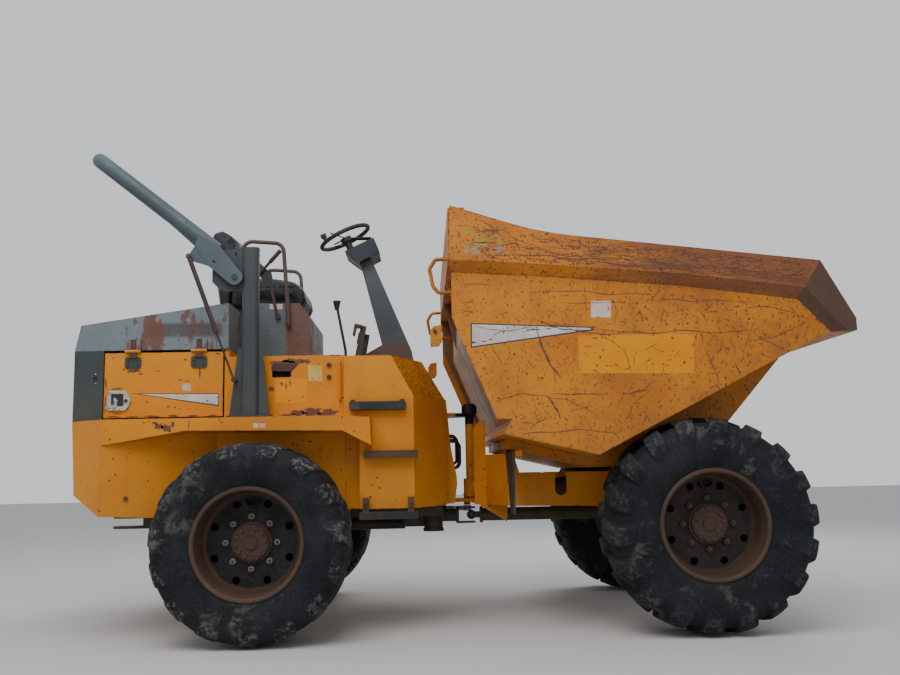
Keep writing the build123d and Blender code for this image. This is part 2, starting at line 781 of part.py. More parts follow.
# Centre joint head: sleeve on the king pin, block with the rolling flange, and a steering arm.
ROLL_FLANGE_X = 50.0
with BuildPart() as pivot_head:
    with BuildSketch(Plane.XY.offset(KING_LOW + LUG_THICKNESS + 1)):
        with Locations((PIVOT_X, 0)):
            Circle(KING_SLEEVE_R)
    extrude(amount=KING_HIGH - KING_LOW - 2 * LUG_THICKNESS - 2)
    with BuildSketch(Plane.XY.offset(ROLL_Z - 58)):
        with Locations((PIVOT_X, 0)):
            Circle(46)
    extrude(amount=116)
    with BuildSketch(Plane.YZ.offset(PIVOT_X)):
        with Locations((0, ROLL_Z)):
            Circle(58)
    extrude(amount=ROLL_FLANGE_X - 18)
    with BuildSketch(Plane.YZ.offset(PIVOT_X + ROLL_FLANGE_X - 18)):
        with Locations((0, ROLL_Z)):
            Circle(ROLL_FLANGE_R)
    extrude(amount=18 - PAINT_GAP)
    with BuildSketch(Plane.XY.offset(ROLL_Z - 58)):
        with BuildLine():
            Polyline(
                (PIVOT_X - 42, 0),
                (PIVOT_X + STEER_ARM_X - 24, STEER_ARM_Y + 24),
                (PIVOT_X + STEER_ARM_X + 20, STEER_ARM_Y + 24),
                (PIVOT_X + STEER_ARM_X + 20, 120),
                (PIVOT_X + 24, 36),
                close=True,
            )
        make_face()
    extrude(amount=20)
    with BuildSketch(Plane.XY.offset(ROLL_Z - 58)):
        with Locations((PIVOT_X + STEER_ARM_X, STEER_ARM_Y)):
            Circle(22)
    extrude(amount=STEER_Z + 18 + 3 - ROLL_Z + 58)
    with BuildSketch(Plane.XY.offset(KING_LOW)):
        with Locations((PIVOT_X, 0)):
            Circle(KING_PIN_R + PAINT_GAP)
    extrude(amount=KING_HIGH - KING_LOW, mode=Mode.SUBTRACT)
pivot_head.part.label = "pivot_head"
export_step(pivot_head.part, "parts/pivot_head.step")

# Front chassis: narrow head post behind, plates that widen to the side rails, tipping bosses.
HEAD_Y = 200.0
HEAD_PLATE_X = PIVOT_X + ROLL_FLANGE_X - FRONT_AXLE_X
RAIL_START_X = HEAD_X + 187.0
RAIL_REAR_TOP = 985.0
FLAP_X = RAIL_START_X + 2.0
HEAD_SIDE_X = HEAD_X + 77.0
with BuildPart() as front_chassis:
    for side in (1, -1):
        with BuildSketch(FRONT_SIDE.offset(side * RAIL_Y)):
            with BuildLine():
                Polyline(
                    (RAIL_START_X, 674),
                    (RAIL_START_X, RAIL_REAR_TOP),
                    (RAIL_START_X + 40, RAIL_REAR_TOP),
                    (RAIL_START_X + 75, 868),
                    (TIP_X + 50, 868),
                    (TIP_X + 60, TIP_Z - 40),
                    (TIP_X - 40, TIP_Z - 70),
                    (230, 690),
                    (-460, 660),
                    close=True,
                )
            make_face()
            with Locations((RAIL_START_X + 324, 800)):
                SlotCenterToCenter(70, 70, rotation=90, mode=Mode.SUBTRACT)
        extrude(amount=-side * RAIL_WALL)
        with BuildSketch(FRONT_PLAN.offset(674)):
            with BuildLine():
                Polyline(
                    (HEAD_SIDE_X, side * (HEAD_Y - 20)),
                    (RAIL_START_X, side * (RAIL_Y - 20)),
                    (RAIL_START_X, side * RAIL_Y),
                    (HEAD_SIDE_X, side * HEAD_Y),
                    close=True,
                )
            make_face()
        extrude(amount=RAIL_REAR_TOP - 674)
        with BuildSketch(FRONT_SIDE.offset(side * HEAD_Y)):
            with BuildLine():
                Polyline(
                    (HEAD_X, 676),
                    (HEAD_X, 1150),
                    (HEAD_X + 40, 1195),
                    (HEAD_SIDE_X, 1195),
                    (HEAD_SIDE_X, 674),
                    (HEAD_X + 208, 672),
                    (HEAD_X + 201, 566),
                    (HEAD_X + 28, 676),
                    close=True,
                )
            make_face()
        extrude(amount=-side * 20)
        with BuildSketch(FRONT_SIDE.offset(side * (RAIL_Y + 28))):
            with Locations((TIP_X, TIP_Z)):
                Circle(TIP_PIN_R)
        extrude(amount=-side * (28 + RAIL_WALL))
    with BuildSketch(FRONT_CROSS.offset(HEAD_PLATE_X)):
        with Locations((0, (676 + 1150) / 2)):
            Rectangle(2 * (HEAD_Y - 20), 1150 - 676)
    extrude(amount=20)
    for side in (1, -1):
        with BuildSketch(FRONT_CROSS.offset(FLAP_X)):
            with Locations((side * (RAIL_Y + 950) / 2, 975)):
                Rectangle(950 - RAIL_Y, 30)
        extrude(amount=40)
    for x, low, high, depth in ((-480, 655, 680, 60), (230, 700, 868, 20)):
        with BuildSketch(FRONT_CROSS.offset(x)):
            with Locations((0, (low + high) / 2)):
                Rectangle(2 * (RAIL_Y - RAIL_WALL), high - low)
        extrude(amount=depth)
    for side in (1, -1):
        with BuildSketch(FRONT_PLAN.offset(FRONT_TYRE_R + AXLE_TUBE_R - 20)):
            with Locations((0, side * (RAIL_Y - RAIL_WALL / 2))):
                Rectangle(220, 60)
        extrude(amount=690 - FRONT_TYRE_R - AXLE_TUBE_R + 20)
    with BuildSketch(FRONT_SIDE):
        with Locations((0, FRONT_TYRE_R)):
            Circle(AXLE_TUBE_R + PAINT_GAP)
    extrude(amount=RAIL_Y + 60, both=True, mode=Mode.SUBTRACT)
    with BuildSketch(FRONT_SIDE):
        with Locations((RAM_FOOT_X, RAM_FOOT_Z)):
            Circle(RAM_PIN_R)
    extrude(amount=RAIL_Y - RAIL_WALL, both=True)
front_chassis.part.label = "front_chassis"
export_step(front_chassis.part, "parts/front_chassis.step")

# Drive line: gearbox with a filter bowl beside it, the shaft out of it to the centre joint, and the shaft to the front axle.
with BuildPart() as gearbox:
    with BuildSketch(REAR_SIDE):
        with BuildLine():
            Polyline(
                (NOSE_X - 299, DECK_BOTTOM),
                (NOSE_X - 259, 545),
                (NOSE_X - 59, 545),
                (NOSE_X - 19, DECK_BOTTOM),
                close=True,
            )
        make_face()
    extrude(amount=130, both=True)
    with BuildSketch(REAR_CROSS.offset(NOSE_X - 69)):
        with Locations((0, SHAFT_Z)):
            Circle(40)
    extrude(amount=PIVOT_LOCAL_X - (NOSE_X - 69) - 100)
    with BuildSketch(REAR_CROSS.offset(PIVOT_LOCAL_X - 100)):
        with Locations((0, SHAFT_Z)):
            Circle(52)
    extrude(amount=18)
    for low in (SHAFT_Z - 52, SHAFT_Z + 40):
        with BuildSketch(REAR_PLAN.offset(low)):
            with BuildLine():
                Polyline(
                    (PIVOT_LOCAL_X - 90, -34),
                    (PIVOT_LOCAL_X, -26),
                    (PIVOT_LOCAL_X, 26),
                    (PIVOT_LOCAL_X - 90, 34),
                    close=True,
                )
            make_face()
            with Locations((PIVOT_LOCAL_X, 0)):
                Circle(26)
        extrude(amount=12)
    with BuildSketch(REAR_CROSS.offset(205)):
        with Locations((0, REAR_TYRE_R + 28)):
            Circle(34)
    extrude(amount=NOSE_X - 259 - 205)
    with BuildSketch(REAR_PLAN.offset(DECK_BOTTOM)):
        with Locations((NOSE_X - 79, -235)):
            Circle(58)
    extrude(amount=-165)
    with BuildSketch(REAR_PLAN.offset(DECK_BOTTOM - 165)):
        with Locations((NOSE_X - 79, -235)):
            Circle(64)
    extrude(amount=18)
gearbox.part.label = "gearbox"
export_step(gearbox.part, "parts/gearbox.step")

with BuildPart() as front_shaft:
    with BuildSketch(FRONT_CROSS.offset(HEAD_X + 60)):
        with Locations((0, SHAFT_Z)):
            Circle(41)
    extrude(amount=-HEAD_X - 60 - 205)
    with BuildSketch(FRONT_CROSS.offset(HEAD_X + 42)):
        with Locations((0, SHAFT_Z)):
            Circle(52)
    extrude(amount=18)
    with BuildSketch(FRONT_CROSS.offset(PIVOT_X - FRONT_AXLE_X)):
        with Locations((0, SHAFT_Z)):
            Circle(20)
    extrude(amount=HEAD_X + 50 - PIVOT_X + FRONT_AXLE_X)
    with Locations((PIVOT_X, 0, SHAFT_Z)):
        Sphere(30)
front_shaft.part.label = "front_shaft"
export_step(front_shaft.part, "parts/front_shaft.step")

# Skip: side plates, leaning back wall, floor over the wheels and the belly between them.
TOP_REAR = (-1372, 2334)
TOP_KNEE = (-875, 2176)
TOP_FRONT = (669, 1998)
KNEE_R = 1800.0
LIP_TOP = (845, 1672)
LIP_LOW = (845, 1604)
WALL_KINK_Z = 1716.0
FOOT_REAR = (-1101, 1078)
FOOT_LOW = (-588, 958)
SPOUT = (705, 1608)
FLANGE_X = -1368.0
WALL_X = FLANGE_X + SKIP_RECESS
BELLY_LOW = 893.0
BELLY_FRONT_R = 260.0
TIP_LUG = 20.0
TIP_LUG_Y = RAIL_Y + RUN_GAP
with BuildPart() as skip_shell:
    with BuildSketch(FRONT_SIDE) as side_view:
        with BuildLine():
            Polyline(
                (WALL_X, 2307),
                (WALL_X, WALL_KINK_Z),
                (-1055, 1159),
                FOOT_REAR,
                FOOT_LOW,
                SPOUT,
                LIP_LOW,
                LIP_TOP,
                TOP_FRONT,
                TOP_KNEE,
                close=True,
            )
        make_face()
        fillet(side_view.vertices().sort_by_distance(TOP_KNEE)[0], KNEE_R)
    extrude(amount=SKIP_Y, both=True)
    with BuildSketch(FRONT_SIDE) as belly:
        with BuildLine():
            Polyline(
                (-1040, 1200),
                (-1060, 1012),
                (-560, BELLY_LOW),
                (50, BELLY_LOW),
                (268, 1156),
                (636, 1572),
                close=True,
            )
        make_face()
        fillet(belly.vertices().sort_by(Axis.Y)[:2].sort_by(Axis.X)[-1], BELLY_FRONT_R)
    extrude(amount=BELLY_Y, both=True)
    for side in (1, -1):
        with BuildSketch(FRONT_SIDE.offset(side * TIP_LUG_Y)):
            with BuildLine():
                Polyline(
                    (0, BELLY_LOW + 20),
                    (300, 1170),
                    (TIP_X + 62, TIP_Z + 10),
                    (TIP_X + 50, TIP_Z - 40),
                    (TIP_X, TIP_Z - 60),
                    (TIP_X - 60, TIP_Z - 30),
                    (-30, BELLY_LOW),
                    close=True,
                )
            make_face()
            with Locations((TIP_X, TIP_Z)):
                Circle(TIP_PIN_R + PAINT_GAP, mode=Mode.SUBTRACT)
        extrude(amount=side * TIP_LUG)
        with BuildSketch(FRONT_SIDE.offset(side * (RAM_ROD_R + RUN_GAP))):
            with BuildLine():
                Polyline(
                    (RAM_HEAD_X - 60, BELLY_LOW + 4),
                    (RAM_HEAD_X - 30, RAM_HEAD_Z - 40),
                    (RAM_HEAD_X + 30, RAM_HEAD_Z - 40),
                    (RAM_HEAD_X + 60, BELLY_LOW + 4),
                    close=True,
                )
            make_face()
        extrude(amount=side * 14)
    with BuildSketch(FRONT_SIDE):
        with BuildLine():
            Polyline(
                (WALL_X + SKIP_WALL, 2600),
                (WALL_X + SKIP_WALL, WALL_KINK_Z + 2),
                (-1055 + SKIP_WALL, 1161),
                (FOOT_REAR[0] + 12, FOOT_REAR[1] + 5),
                (FOOT_LOW[0] + 1, FOOT_LOW[1] + SKIP_WALL),
                (SPOUT[0] - 4, SPOUT[1] + SKIP_WALL),
                (1200, 1612),
                (1200, 2600),
                close=True,
            )
        make_face()
    extrude(amount=SKIP_Y - SKIP_WALL, both=True, mode=Mode.SUBTRACT)
    with BuildSketch(FRONT_SIDE) as trough:
        with BuildLine():
            Polyline(
                (-1040 + SKIP_WALL, 1200),
                (-1060 + SKIP_WALL, 1012 + SKIP_WALL),
                (-560, BELLY_LOW + SKIP_WALL),
                (46, BELLY_LOW + SKIP_WALL),
                (268 - SKIP_WALL, 1156 + 4),
                (636 - SKIP_WALL, 1572 + 4),
                close=True,
            )
        make_face()
        fillet(
            trough.vertices().sort_by(Axis.Y)[:2].sort_by(Axis.X)[-1],
            BELLY_FRONT_R - SKIP_WALL,
        )
    extrude(amount=BELLY_Y - SKIP_WALL, both=True, mode=Mode.SUBTRACT)
    for side in (1, -1):
        with BuildSketch(FRONT_SIDE.offset(side * SKIP_Y)):
            with BuildLine():
                Polyline(
                    (FLANGE_X, 2050),
                    (FLANGE_X, WALL_KINK_Z),
                    (-1135, 1159),
                    (-1055, 1159),
                    (WALL_X, WALL_KINK_Z),
                    (WALL_X, 2050),
                    close=True,
                )
            make_face()
        extrude(amount=-side * SKIP_WALL)
    for y in (-373, 373):
        with BuildSketch(FRONT_SIDE.offset(y)):
            with BuildLine():
                Polyline(
                    (FLANGE_X, 2050),
                    (WALL_X, WALL_KINK_Z),
                    (WALL_X, 2050),
                    close=True,
                )
            make_face()
        extrude(amount=8, both=True)
skip_shell.part.label = "skip_shell"
export_step(skip_shell.part, "parts/skip_shell.step")

# Rim of the skip: a deep folded rail round both sides and across the back, mitred down to the
# lip, with a bent bar grip on the back at each side.
RIM_REAR_X = -1380.0
GRIP_R = 11.0
GRIP_Y = 924.0
RIM_OUTER = (TOP_REAR, TOP_KNEE, TOP_FRONT, LIP_TOP, LIP_LOW, (790, 1604),
             (734, 1665), (574, 1848), (-108, 1934), (-983, 2005), (RIM_REAR_X, 2027))
RIM_INNER = (TOP_REAR, TOP_KNEE, TOP_FRONT, LIP_TOP, LIP_LOW, (720, 1604),
             (690, 1640), (545, 1790), (-108, 1874), (-983, 1945), (RIM_REAR_X, 1967))
with BuildPart() as skip_rim:
    with BuildSketch(FRONT_SIDE.offset(SKIP_Y)) as rim_root:
        with BuildLine():
            Polyline(*RIM_INNER, close=True)
        make_face()
        fillet(rim_root.vertices().sort_by_distance(TOP_KNEE)[0], KNEE_R)
    with BuildSketch(FRONT_SIDE.offset(SKIP_RIM_Y)) as rim_face:
        with BuildLine():
            Polyline(*RIM_OUTER, close=True)
        make_face()
        fillet(rim_face.vertices().sort_by_distance(TOP_KNEE)[0], KNEE_R)
    loft(ruled=True)
    mirror(about=Plane.XZ)
    with BuildSketch(FRONT_CROSS.offset(RIM_REAR_X)):
        with Locations((0, (2050 + TOP_REAR[1]) / 2)):
            Rectangle(2 * SKIP_Y, TOP_REAR[1] - 2050)
    extrude(amount=WALL_X - RIM_REAR_X)
    for y in (-GRIP_Y, GRIP_Y):
        with BuildLine(FRONT_SIDE.offset(y)) as grip_path:
            FilletPolyline(
                (WALL_X - 1.5, 1890),
                (-1436, 1892),
                (-1466, 1930),
                (-1484, 2030),
                (-1450, 2084),
                (RIM_REAR_X + 5, 2088),
                radius=26,
            )
        with BuildSketch(Plane(origin=grip_path.line @ 0, z_dir=grip_path.line % 0)):
            Circle(GRIP_R)
        sweep(path=grip_path.line)
skip_rim.part.label = "skip_rim"
export_step(skip_rim.part, "parts/skip_rim.step")

# Rubber: rests for the skip on the chassis rails, and mud flaps hung behind the front wheels.
BELLY_SLOPE = (BELLY_LOW - 1012) / (-560 + 1060)
with BuildPart() as rubber_parts:
    for side in (1, -1):
        with BuildSketch(FRONT_SIDE.offset(side * RAIL_Y)):
            with BuildLine():
                Polyline(
                    (RAIL_START_X + 2, RAIL_REAR_TOP),
                    (RAIL_START_X + 2, 1012 + BELLY_SLOPE * (RAIL_START_X + 1062) - PAINT_GAP),
                    (RAIL_START_X + 38, 1012 + BELLY_SLOPE * (RAIL_START_X + 1098) - PAINT_GAP),
                    (RAIL_START_X + 38, RAIL_REAR_TOP),
                    close=True,
                )
            make_face()
        extrude(amount=-side * 40)
        with BuildSketch(FRONT_CROSS.offset(FLAP_X - 10)):
            with BuildLine():
                Polyline(
                    (side * (RAIL_Y + 10), 990),
                    (side * 950, 990),
                    (side * 900, 640),
                    (side * 700, 640),
                    close=True,
                )
            make_face()
        extrude(amount=10)
rubber_parts.part.label = "rubber_parts"
export_step(rubber_parts.part, "parts/rubber_parts.step")

# Tipping ram between the head post and the belly: barrel on its foot pin, rod with its eye.
RAM_PLANE = Plane(
    origin=(FRONT_AXLE_X + RAM_FOOT_X, 0, RAM_FOOT_Z),
    x_dir=(0, 1, 0),
    z_dir=(RAM_HEAD_X - RAM_FOOT_X, 0, RAM_HEAD_Z - RAM_FOOT_Z),
)
RAM_LENGTH = math.hypot(RAM_HEAD_X - RAM_FOOT_X, RAM_HEAD_Z - RAM_FOOT_Z)
RAM_BARREL_END = RAM_LENGTH - 70.0
with BuildPart() as tip_ram_barrel:
    with BuildSketch(RAM_PLANE.offset(40)):
        Circle(RAM_BARREL_R)
    extrude(amount=RAM_BARREL_END - 40)
    with BuildSketch(FRONT_SIDE):
        with Locations((RAM_FOOT_X, RAM_FOOT_Z)):
            Circle(48)
    extrude(amount=34, both=True)
    with BuildSketch(FRONT_SIDE):
        with Locations((RAM_FOOT_X, RAM_FOOT_Z)):
            Circle(RAM_PIN_R + PAINT_GAP)
    extrude(amount=80, both=True, mode=Mode.SUBTRACT)
    with BuildSketch(RAM_PLANE.offset(60)):
        Circle(RAM_ROD_R + PAINT_GAP)
    extrude(amount=RAM_BARREL_END, mode=Mode.SUBTRACT)
tip_ram_barrel.part.label = "tip_ram_barrel"
export_step(tip_ram_barrel.part, "parts/tip_ram_barrel.step")

with BuildPart() as tip_ram_rod:
    with BuildSketch(RAM_PLANE.offset(66)):
        Circle(RAM_ROD_R)
    extrude(amount=RAM_LENGTH - 66 - 20)
    with BuildSketch(FRONT_SIDE):
        with Locations((RAM_HEAD_X, RAM_HEAD_Z)):
            Circle(36)
    extrude(amount=RAM_ROD_R, both=True)
tip_ram_rod.part.label = "tip_ram_rod"
export_step(tip_ram_rod.part, "parts/tip_ram_rod.step")

# Steering ram on the left under the deck: foot on the rear chassis, eye at the head's arm.
STEER_LENGTH = PIVOT_LOCAL_X + STEER_ARM_X - STEER_FOOT_X
STEER_BARREL_END = STEER_LENGTH - 144.0
STEER_PLANE = Plane(
    origin=(REAR_AXLE_X + STEER_FOOT_X, STEER_FOOT_Y, STEER_Z), x_dir=(0, 1, 0), z_dir=(1, 0, 0)
)
with BuildPart() as steer_ram_barrel:
    with BuildSketch(STEER_PLANE.offset(24)):
        Circle(32)
    extrude(amount=STEER_BARREL_END - 24)
    with BuildSketch(REAR_PLAN.offset(STEER_Z - 20)):
        with Locations((STEER_FOOT_X, STEER_FOOT_Y)):
            Circle(30)
    extrude(amount=40)
    with BuildSketch(REAR_PLAN.offset(STEER_Z - 40)):
        with Locations((STEER_FOOT_X, STEER_FOOT_Y)):
            Circle(STEER_PIN_R + PAINT_GAP)
    extrude(amount=80, mode=Mode.SUBTRACT)
    with BuildSketch(STEER_PLANE.offset(31)):
        Circle(16 + PAINT_GAP)
    extrude(amount=STEER_BARREL_END, mode=Mode.SUBTRACT)
steer_ram_barrel.part.label = "steer_ram_barrel"
export_step(steer_ram_barrel.part, "parts/steer_ram_barrel.step")

with BuildPart() as steer_ram_rod:
    with BuildSketch(STEER_PLANE.offset(132)):
        Circle(16)
    extrude(amount=STEER_LENGTH - 132 - 14)
    with BuildSketch(REAR_PLAN.offset(STEER_Z - 18)):
        with Locations((STEER_FOOT_X + STEER_LENGTH, STEER_FOOT_Y)):
            Circle(28)
    extrude(amount=36)
steer_ram_rod.part.label = "steer_ram_rod"
export_step(steer_ram_rod.part, "parts/steer_ram_rod.step")

# Folding frame: posts with gussets and hinge plates on the fender shelves.
HINGE_PLATE_Y = POST_Y + POST_WIDTH / 2 + 5
with BuildPart() as rops_posts:
    with BuildSketch(REAR_PLAN.offset(SHELF_TOP)):
        with Locations((POST_X, -POST_Y)):
            RectangleRounded(POST_LENGTH, POST_WIDTH, 26)
    extrude(amount=POST_TOP - SHELF_TOP)
    with BuildSketch(REAR_PLAN.offset(SHELF_TOP)):
        with Locations((POST_X, -POST_Y)):
            Rectangle(250, 96)
    extrude(amount=14)
    with BuildSketch(REAR_SIDE.offset(POST_Y + POST_WIDTH / 2 - 30)):
        with BuildLine():
            Polyline(
                (-166, SHELF_TOP),
                (-118, 1600),
                (18, 1600),
                (62, SHELF_TOP),
                close=True,
            )
        make_face()
    extrude(amount=-12)
    with BuildSketch(REAR_SIDE.offset(POST_Y + 20)):
        with BuildLine():
            Polyline(
                (-96, POST_TOP),
                (-200, POST_TOP - 12),
                (-268, 2080),
                (-268, 1985),
                (-228, 1942),
                (-178, 1926),
                (-90, 1940),
                close=True,
            )
        make_face()
        with Locations((FOLD_X, FOLD_Z + 140)):
            Circle(9, mode=Mode.SUBTRACT)
    extrude(amount=-FOLD_PLATE)
    with BuildSketch(REAR_SIDE.offset(POST_Y + 20)):
        with Locations((FOLD_X, FOLD_Z)):
            Circle(FOLD_PIN_R)
    extrude(amount=HINGE_PLATE_Y + FOLD_PLATE + 8 - POST_Y - 20)
    with BuildSketch(REAR_SIDE.offset(POST_Y + 8)):
        with Locations((STRUT_FOOT_X, STRUT_FOOT_Z)):
            Circle(10)
    extrude(amount=STRUT_Y - POST_Y - 8 - STRUT_ROD_R - 1)
    mirror(about=Plane.XZ)
rops_posts.part.label = "rops_posts"
export_step(rops_posts.part, "parts/rops_posts.step")

# Hoop: bent tube with side plates that swing on the hinge bolts, drawn folded back. It is racked:
# its left corner stands ahead of its right one.
HOOP_Y = POST_Y + 8
U_DIR = Vector(-math.sin(math.radians(FOLD_ANGLE)), 0, math.cos(math.radians(FOLD_ANGLE)))
HINGE = Vector(REAR_AXLE_X + FOLD_X, 0, FOLD_Z)
HOOP_SIDE = Plane(origin=HINGE, x_dir=U_DIR, z_dir=(0, 1, 0))
HOOP_START = 186.0
HOOP_TOP_U = HOOP_LENGTH - HOOP_TUBE_R
V_DIR = HOOP_SIDE.y_dir
HOOP_FACE = Plane(origin=HINGE + V_DIR * HOOP_OFFSET, x_dir=(0, 1, 0), z_dir=V_DIR)
with BuildPart() as rops_hoop:
    with BuildLine(HOOP_FACE) as hoop_path:
        FilletPolyline(
            (-HOOP_Y, HOOP_START),
            (-HOOP_Y, HOOP_TOP_U),
            (HOOP_Y, HOOP_TOP_U, HOOP_RACK),
            (HOOP_Y, HOOP_START),
            radius=HOOP_BEND_R,
        )
    with BuildSketch(Plane(origin=hoop_path.line @ 0, z_dir=hoop_path.line % 0)):
        Circle(HOOP_TUBE_R)
    sweep(path=hoop_path.line)
    for side in (1, -1):
        with BuildSketch(HOOP_SIDE.offset(side * HINGE_PLATE_Y)):
            with BuildLine():
                Polyline(
                    (0, 46),
                    (186, 90),
                    (320, 66),
                    (292, 4),
                    (159, -41),
                    (0, -46),
                    close=True,
                )
            make_face()
            Circle(46)
            Circle(FOLD_PIN_R + PAINT_GAP, mode=Mode.SUBTRACT)
            with Locations((146, -3)):
                Circle(9, mode=Mode.SUBTRACT)
        extrude(amount=side * FOLD_PLATE)
        with BuildSketch(HOOP_SIDE.offset(side * HINGE_PLATE_Y)):
            with BuildLine():
                Polyline(
                    (292, 4),
                    (STRUT_TOP_U + 14, STRUT_TOP_V - 8),
                    (STRUT_TOP_U - 14, STRUT_TOP_V - 12),
                    (159, -41),
                    close=True,
                )
            make_face()
        extrude(amount=side * 8)
        with BuildSketch(HOOP_SIDE.offset(side * HINGE_PLATE_Y)):
            with Locations((STRUT_TOP_U, STRUT_TOP_V)):
                Circle(7)
        extrude(amount=side * (STRUT_Y + STRUT_TUBE_R + 2 - HINGE_PLATE_Y))
rops_hoop.part.label = "rops_hoop"
export_step(rops_hoop.part, "parts/rops_hoop.step")

# Gas struts between the hoop's plates and the posts, tube above and rod below, one on each side.
STRUT_TOP = HINGE + U_DIR * STRUT_TOP_U + V_DIR * STRUT_TOP_V
STRUT_FOOT = Vector(REAR_AXLE_X + STRUT_FOOT_X, 0, STRUT_FOOT_Z)
STRUT_DIR = (STRUT_FOOT - STRUT_TOP).normalized()
STRUT_SPAN = (STRUT_FOOT - STRUT_TOP).length
STRUT_TUBE_LENGTH = 470.0
STRUT_ROD_LENGTH = 456.0
with BuildPart() as rops_strut_tubes:
    for side in (1, -1):
        top_pin = STRUT_TOP + Vector(0, side * STRUT_Y, 0)
        with BuildSketch(Plane(origin=top_pin + STRUT_DIR * 12, z_dir=STRUT_DIR)):
            Circle(STRUT_TUBE_R)
        extrude(amount=STRUT_TUBE_LENGTH - 12)
        with BuildSketch(Plane(origin=top_pin, x_dir=(1, 0, 0), z_dir=(0, side, 0))):
            Circle(16)
        extrude(amount=8, both=True)
        with BuildSketch(Plane(origin=top_pin, x_dir=(1, 0, 0), z_dir=(0, side, 0))):
            Circle(7 + PAINT_GAP)
        extrude(amount=20, both=True, mode=Mode.SUBTRACT)
        tube_end = top_pin + STRUT_DIR * STRUT_TUBE_LENGTH
        with BuildSketch(Plane(origin=tube_end, z_dir=-STRUT_DIR)):
            Circle(STRUT_ROD_R + PAINT_GAP)
        extrude(amount=220, mode=Mode.SUBTRACT)
rops_strut_tubes.part.label = "rops_strut_tubes"
export_step(rops_strut_tubes.part, "parts/rops_strut_tubes.step")

with BuildPart() as rops_strut_rods:
    for side in (1, -1):
        foot_pin = STRUT_FOOT + Vector(0, side * STRUT_Y, 0)
        with BuildSketch(Plane(origin=foot_pin, z_dir=-STRUT_DIR)):
            Circle(STRUT_ROD_R)
        extrude(amount=STRUT_ROD_LENGTH)
        with BuildSketch(Plane(origin=foot_pin, x_dir=(1, 0, 0), z_dir=(0, side, 0))):
            Circle(14)
        extrude(amount=6, both=True)
rops_strut_rods.part.label = "rops_strut_rods"
export_step(rops_strut_rods.part, "parts/rops_strut_rods.step")

# Engine doors: flush plates hung from two hinges each on the hood's sides, with a paddle latch.
for name, side in (("left", 1), ("right", -1)):
    with BuildPart() as door:
        with BuildSketch(REAR_SIDE.offset(-side * BAY_Y)):
            with Locations(((DOOR_REAR_X + DOOR_FRONT_X - RUN_GAP) / 2, (DOOR_BOTTOM + DOOR_TOP) / 2)):
                Rectangle(DOOR_FRONT_X - RUN_GAP - DOOR_REAR_X, DOOR_TOP - DOOR_BOTTOM)
        extrude(amount=side * SHEET)
        for x in DOOR_HINGES:
            with BuildSketch(REAR_SIDE.offset(-side * BAY_Y)):
                with Locations((x, 1534)):
                    Rectangle(86, 60)
            extrude(amount=-side * 5)
            with BuildSketch(REAR_SIDE.offset(-side * BAY_Y)):
                with Locations((x, 1576)):
                    Rectangle(30, 34)
            extrude(amount=-side * 5)
            with BuildSketch(REAR_SIDE.offset(-side * BAY_Y)):
                with Locations((x, 1594)):
                    Rectangle(30, 8)
            extrude(amount=-side * 12)
            with BuildSketch(REAR_CROSS.offset(x - 15)):
                with Locations((side * DOOR_HINGE_Y, DOOR_HINGE_Z)):
                    Circle(DOOR_HINGE_R)
            extrude(amount=30)
        with BuildSketch(REAR_SIDE.offset(-side * BAY_Y)):
            with Locations((-802, 1318)):
                RectangleRounded(104, 96, 8)
        extrude(amount=-side * 9)
    node = f"engine_door_{name}"
    door.part.label = node
    export_step(door.part, f"parts/{node}.step")

# Operator's controls: floor lever with a flared knob, two pedals on flat arms, and the parking
# lever with its bracket on a bar beside the seat box.
PEDAL_Y = 190.0
with BuildPart() as controls:
    with BuildLine(REAR_SIDE) as lever_path:
        FilletPolyline((425, TANK_TOP + PAINT_GAP), (421, 1690), (366, 1985), radius=60)
    with BuildSketch(Plane(origin=lever_path.line @ 0, z_dir=lever_path.line % 0)):
        Circle(9)
    sweep(path=lever_path.line)
    with Locations((REAR_AXLE_X + 365, 0, 1992)):
        Cone(bottom_radius=13, top_radius=27, height=60)
    for y in (-PEDAL_Y, PEDAL_Y):
        with BuildSketch(REAR_SIDE.offset(y)):
            with BuildLine():
                Polyline((536, 1826), (572, 1818), (522, DECK_Z), (482, DECK_Z), close=True)
            make_face()
        extrude(amount=8, both=True)
        with BuildSketch(REAR_SIDE.offset(y)):
            with BuildLine():
                Polyline(
                    (484, 1762),
                    (496, 1760),
                    (508, 1812),
                    (545, 1808),
                    (545, 1824),
                    (498, 1834),
                    close=True,
                )
            make_face()
        extrude(amount=38, both=True)
    with BuildSketch(REAR_SIDE.offset(SEAT_BOX_Y)):
        with BuildLine():
            Polyline(
                (-81, 2202),
                (-31, 2152),
                (-11, 2160),
                (8, 2061),
                (0, 2054),
                (31, 1900),
                (45, 1858),
                (26, 1850),
                (14, 1896),
                (-18, 2052),
                (-43, 2055),
                (-81, 2119),
                close=True,
            )
        make_face()
    extrude(amount=12)
    with BuildSketch(REAR_SIDE.offset(SEAT_BOX_Y)):
        with Locations((36, 1856)):
            Circle(17)
    extrude(amount=24)
    with BuildLine(REAR_SIDE.offset(SEAT_BOX_Y + 20)) as hand_path:
        Line((-77, 2128), (50, 2273))
    with BuildSketch(Plane(origin=hand_path.line @ 0, z_dir=hand_path.line % 0)):
        Circle(9)
    sweep(path=hand_path.line)
    with BuildSketch(Plane(origin=hand_path.line @ 0.5, z_dir=hand_path.line % 0)):
        Circle(13)
    extrude(amount=98)
controls.part.label = "controls"
export_step(controls.part, "parts/controls.step")

